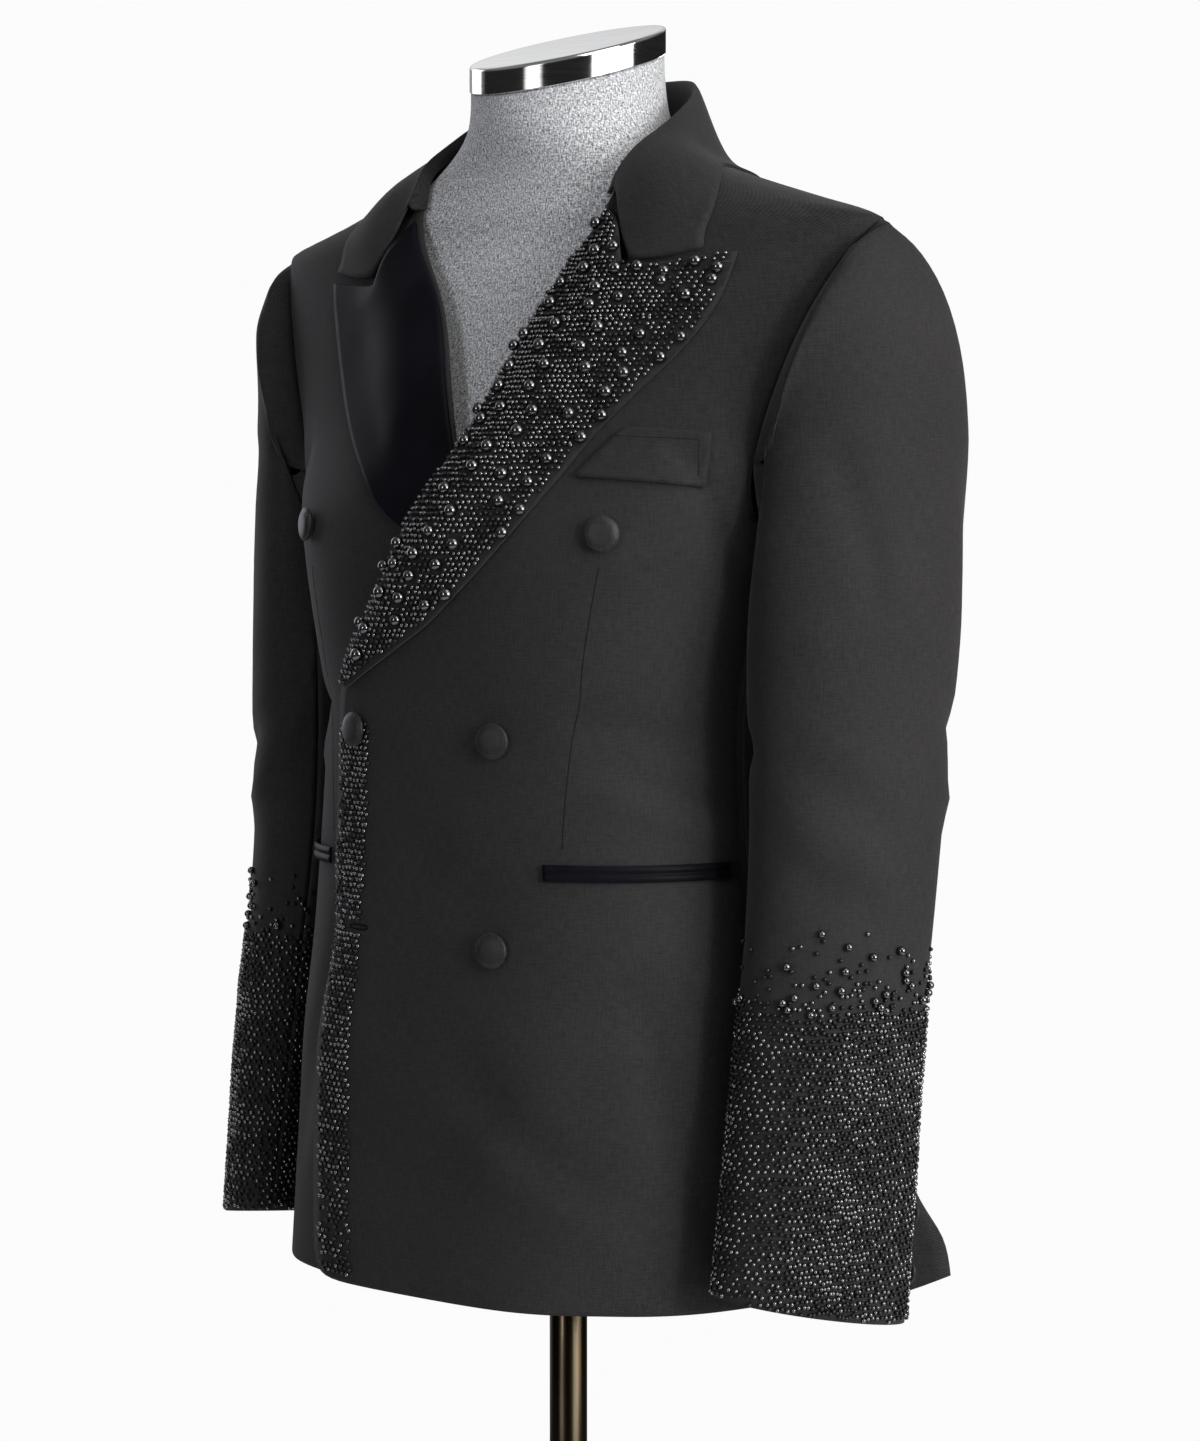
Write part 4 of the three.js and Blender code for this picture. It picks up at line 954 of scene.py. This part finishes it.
def spinProfile(bm, profile, steps, place):
    verts = [bm.verts.new((radius, 0, height)) for radius, height in profile]
    edges = [bm.edges.new(pair) for pair in zip(verts, verts[1:])]
    bmesh.ops.spin(bm, geom=verts + edges, cent=(0, 0, 0), axis=(0, 0, 1), angle=2 * math.pi, steps=steps,
                   use_merge=True)
    bmesh.ops.remove_doubles(bm, verts=bm.verts, dist=0.00001)
    bmesh.ops.recalc_face_normals(bm, faces=bm.faces)
    bmesh.ops.transform(bm, matrix=place, verts=bm.verts)


def addButton(node, part, values):
    first, axis, radius, height = buttonSeat(node)
    first = first + foldShift(first, part)
    profile = [(radius * across, height * up) for across, up in values["profile"]]
    bm = bmesh.new()
    turn = axis.to_track_quat("Z", "Y").to_matrix().to_4x4()
    spinProfile(bm, profile, values["steps"], Matrix.Translation(first) @ turn)
    for vert in bm.verts:   # small puckers where the cloth is drawn over the rim
        local = turn.inverted() @ (vert.co - first)
        reach = math.hypot(local.x, local.y) / radius
        if reach > values["puckerFrom"]:
            wave = math.sin(math.atan2(local.y, local.x) * values["puckers"])
            vert.co += axis * values["puckerDepth"] * wave
    piece = pieceFrom(bm, node + "_dome", "buttonCloth")
    paintWeave(piece.data, part)
    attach(piece, "root")
    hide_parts(node)


for node in [name for name in cadNodes if name.startswith("button_")]:
    addButton(node, "body", buttonValues)
for node in [name for name in cadNodes if name.startswith("cuff_button_")]:
    addButton(node, "left" if "_left_" in node else "right", buttonValues)
print("buttons made")


def frontPoint(node, x, z):
    hit, normal, _, _ = clothTrees[node].ray_cast(Vector((x, -1.0, z)), Vector((0, 1, 0)))
    return (hit, normal) if hit is not None else (None, None)


def seamLine(name, path, width, height, material, slot):   # a low ridge of thread along a path on the cloth; in the dark seam finish its colour is painted shade of the seam's groove
    low = -0.0001
    ridge = ((-1.0, low), (-0.55, height * 0.8), (0.0, height), (0.55, height * 0.8), (1.0, low))
    bm = bmesh.new()
    rows = []
    for index, (point, normal) in enumerate(path):
        ahead = path[min(index + 1, len(path) - 1)][0] - path[max(index - 1, 0)][0]
        side = ahead.cross(normal).normalized()
        row = [bm.verts.new(point + side * across * width / 2 + normal * lift) for across, lift in ridge]
        rows.append([bm.edges.new(pair) for pair in zip(row, row[1:])])
    for first, second in zip(rows, rows[1:]):
        bmesh.ops.bridge_loops(bm, edges=first + second)
    bmesh.ops.recalc_face_normals(bm, faces=bm.faces)
    if sum(face.normal.dot(path[0][1]) for face in bm.faces) < 0:
        bmesh.ops.reverse_faces(bm, faces=bm.faces)
    bmesh.ops.solidify(bm, geom=bm.faces, thickness=sewingValues["thread"])
    piece = pieceFrom(bm, name, material)
    paintWeave(piece.data, "body")
    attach(piece, "root")
    return piece


def pathOnFront(node, marks, step):
    points = []
    for (startX, startZ), (endX, endZ) in zip(marks, marks[1:]):
        count = max(1, int(math.hypot(endX - startX, endZ - startZ) / step))
        for index in range(count):
            share = index / count
            hit, normal = frontPoint(node, startX + (endX - startX) * share, startZ + (endZ - startZ) * share)
            if hit is not None:
                points.append((hit, normal))
    return points


sewingValues = {
    "thread": 0.0003,
    "dart": [   # left of the middle, height
        (0.1146, 1.262), (0.1104, 1.241), (0.1059, 1.216), (0.1039, 1.202), (0.1026, 1.187),
        (0.0989, 1.170), (0.0962, 1.132), (0.0945, 1.110), (0.0941, 1.093),
    ],
    "dartStep": 0.004,
    "dartLine": (0.0011, 0.0002),        # width, height
    "welt": [(0.112, 1.3395), (0.1585, 1.3368), (0.1585, 1.3125)],
    "weltStep": 0.003,
    "weltLine": (0.0008, 0.00015),
    "hole": (-0.0615, -0.0439, 1.042),   # from, to, height
    "holeHalf": 0.0013,
    "holeLine": (0.0015, 0.0005),
    "holeSteps": 48,
    "holeCorner": 0.6,                   # below one squares the ends
}


def sewDarts(values):
    for side, sign in (("left", 1), ("right", -1)):
        marks = [(sign * x, z) for x, z in values["dart"]]
        path = pathOnFront("front_" + side, marks, values["dartStep"])
        # the dart's line is drawn dark, as painted shade of its groove
        seamLine("dart_" + side, path, *values["dartLine"], "seamShade", "twill")


def sewWelt(values):
    path = pathOnFront("chest_welt", values["welt"], values["weltStep"])
    # the welt's seam line is drawn dark, as painted shade along the seam
    seamLine("welt_seam", path, *values["weltLine"], "seamShade", "twill")


def sewButtonhole(values):
    startX, endX, height = values["hole"]
    path = []
    for index in range(values["holeSteps"] + 1):
        angle = 2 * math.pi * index / values["holeSteps"]
        across = math.copysign(abs(math.cos(angle)) ** values["holeCorner"], math.cos(angle))
        up = math.copysign(abs(math.sin(angle)) ** values["holeCorner"], math.sin(angle))
        x = (startX + endX) / 2 + (endX - startX) / 2 * across
        path.append(frontPoint("front_left", x, height + values["holeHalf"] * up))
    seamLine("buttonhole_edge", path, *values["holeLine"], "satin", "satin")


sewDarts(sewingValues)
sewWelt(sewingValues)
sewButtonhole(sewingValues)
print("darts, welt and buttonhole sewn")


def addForm():
    bm = rounded(mergedCopy("form_torso"), math.radians(62))
    bmesh.ops.recalc_face_normals(bm, faces=bm.faces)
    form = pieceFrom(bm, "linen_form", "linen")
    paintWeave(form.data, "body")
    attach(form, "root")
    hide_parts("form_torso")


addForm()

capValues = {
    "radius": 0.0615,
    "middle": 1.587,
    "thickness": 0.017,
    "slope": 0.32,
    "edge": 0.0022,
    "steps": 128,
}


def addCap(values):
    radius, thickness, edge = values["radius"], values["thickness"], values["edge"]
    profile = [(0.0, -thickness), (radius - edge * 0.5, -thickness), (radius, -thickness + edge * 0.5)]
    foot, side = -thickness + edge * 0.6, thickness - edge * 1.7
    profile += [(radius, foot + share * side) for share in (0.0, 0.5, 1.0)]
    for index in range(1, 6):
        angle = math.pi / 2 * index / 5
        profile.append((radius - edge + edge * math.cos(angle), -edge + edge * math.sin(angle)))
    profile += [(radius * 0.9, 0.0), (radius * 0.5, 0.0001), (0.0, 0.0001)]
    bm = bmesh.new()
    lean = Matrix.Identity(4)
    lean[2][1] = values["slope"]
    spinProfile(bm, profile, values["steps"], Matrix.Translation((0, 0, values["middle"])) @ lean)
    cap = pieceFrom(bm, "steel_cap", "steel")
    shading = cap.modifiers.new("shading", "WEIGHTED_NORMAL")
    shading.keep_sharp = True
    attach(cap, "root")
    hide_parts("neck_cap")


addCap(capValues)

standValues = {
    "baseRadius": 0.165,
    "baseThickness": 0.014,
    "bossRadius": 0.024,
    "bossHeight": 0.034,
    "poleRadius": 0.012,
    "poleTop": 0.8617,
    "gap": 0.0003,      # between the boss and the pole's end
    "steps": 96,
    "poleSteps": 64,
}


def addStand(values):
    base, thick = values["baseRadius"], values["baseThickness"]
    boss, top = values["bossRadius"], values["baseThickness"] + values["bossHeight"]
    outline = [
        (0.0, 0.0), (base - 0.001, 0.0), (base, 0.001), (base, thick - 0.004),
        (base - 0.0008, thick - 0.0018), (base - 0.0022, thick - 0.0006), (base - 0.004, thick),
        (base * 0.6, thick), (boss + 0.006, thick), (boss + 0.003, thick + 0.0008),
        (boss + 0.001, thick + 0.003), (boss, thick + 0.006), (boss, top - 0.003),
        (boss - 0.0009, top - 0.0009), (boss - 0.003, top), (0.0, top),
    ]
    bm = bmesh.new()
    spinProfile(bm, outline, values["steps"], Matrix.Identity(4))
    foot = pieceFrom(bm, "round_base", "bronze")
    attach(foot, "root")
    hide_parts("stand_base")
    radius = values["poleRadius"]
    low, high = top + values["gap"], values["poleTop"]
    bm = bmesh.new()
    profile = [(0.0, low), (radius - 0.0008, low), (radius, low + 0.0008)]
    profile += [(radius, low + (high - low) * share) for share in (0.25, 0.5, 0.75)]
    profile += [(radius, high - 0.0008), (radius - 0.0008, high), (0.0, high)]
    spinProfile(bm, profile, values["poleSteps"], Matrix.Identity(4))
    pole = pieceFrom(bm, "round_pole", "bronze")
    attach(pole, "root")
    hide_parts("stand_pole")


addStand(standValues)
print("form and stand made")


floorValues = {"radius": 1.6, "steps": 96}


def addFloor(values):
    bm = bmesh.new()
    bmesh.ops.create_circle(bm, cap_ends=True, segments=values["steps"], radius=values["radius"])
    floor = pieceFrom(bm, "floor", "floor", smooth=False)


addFloor(floorValues)
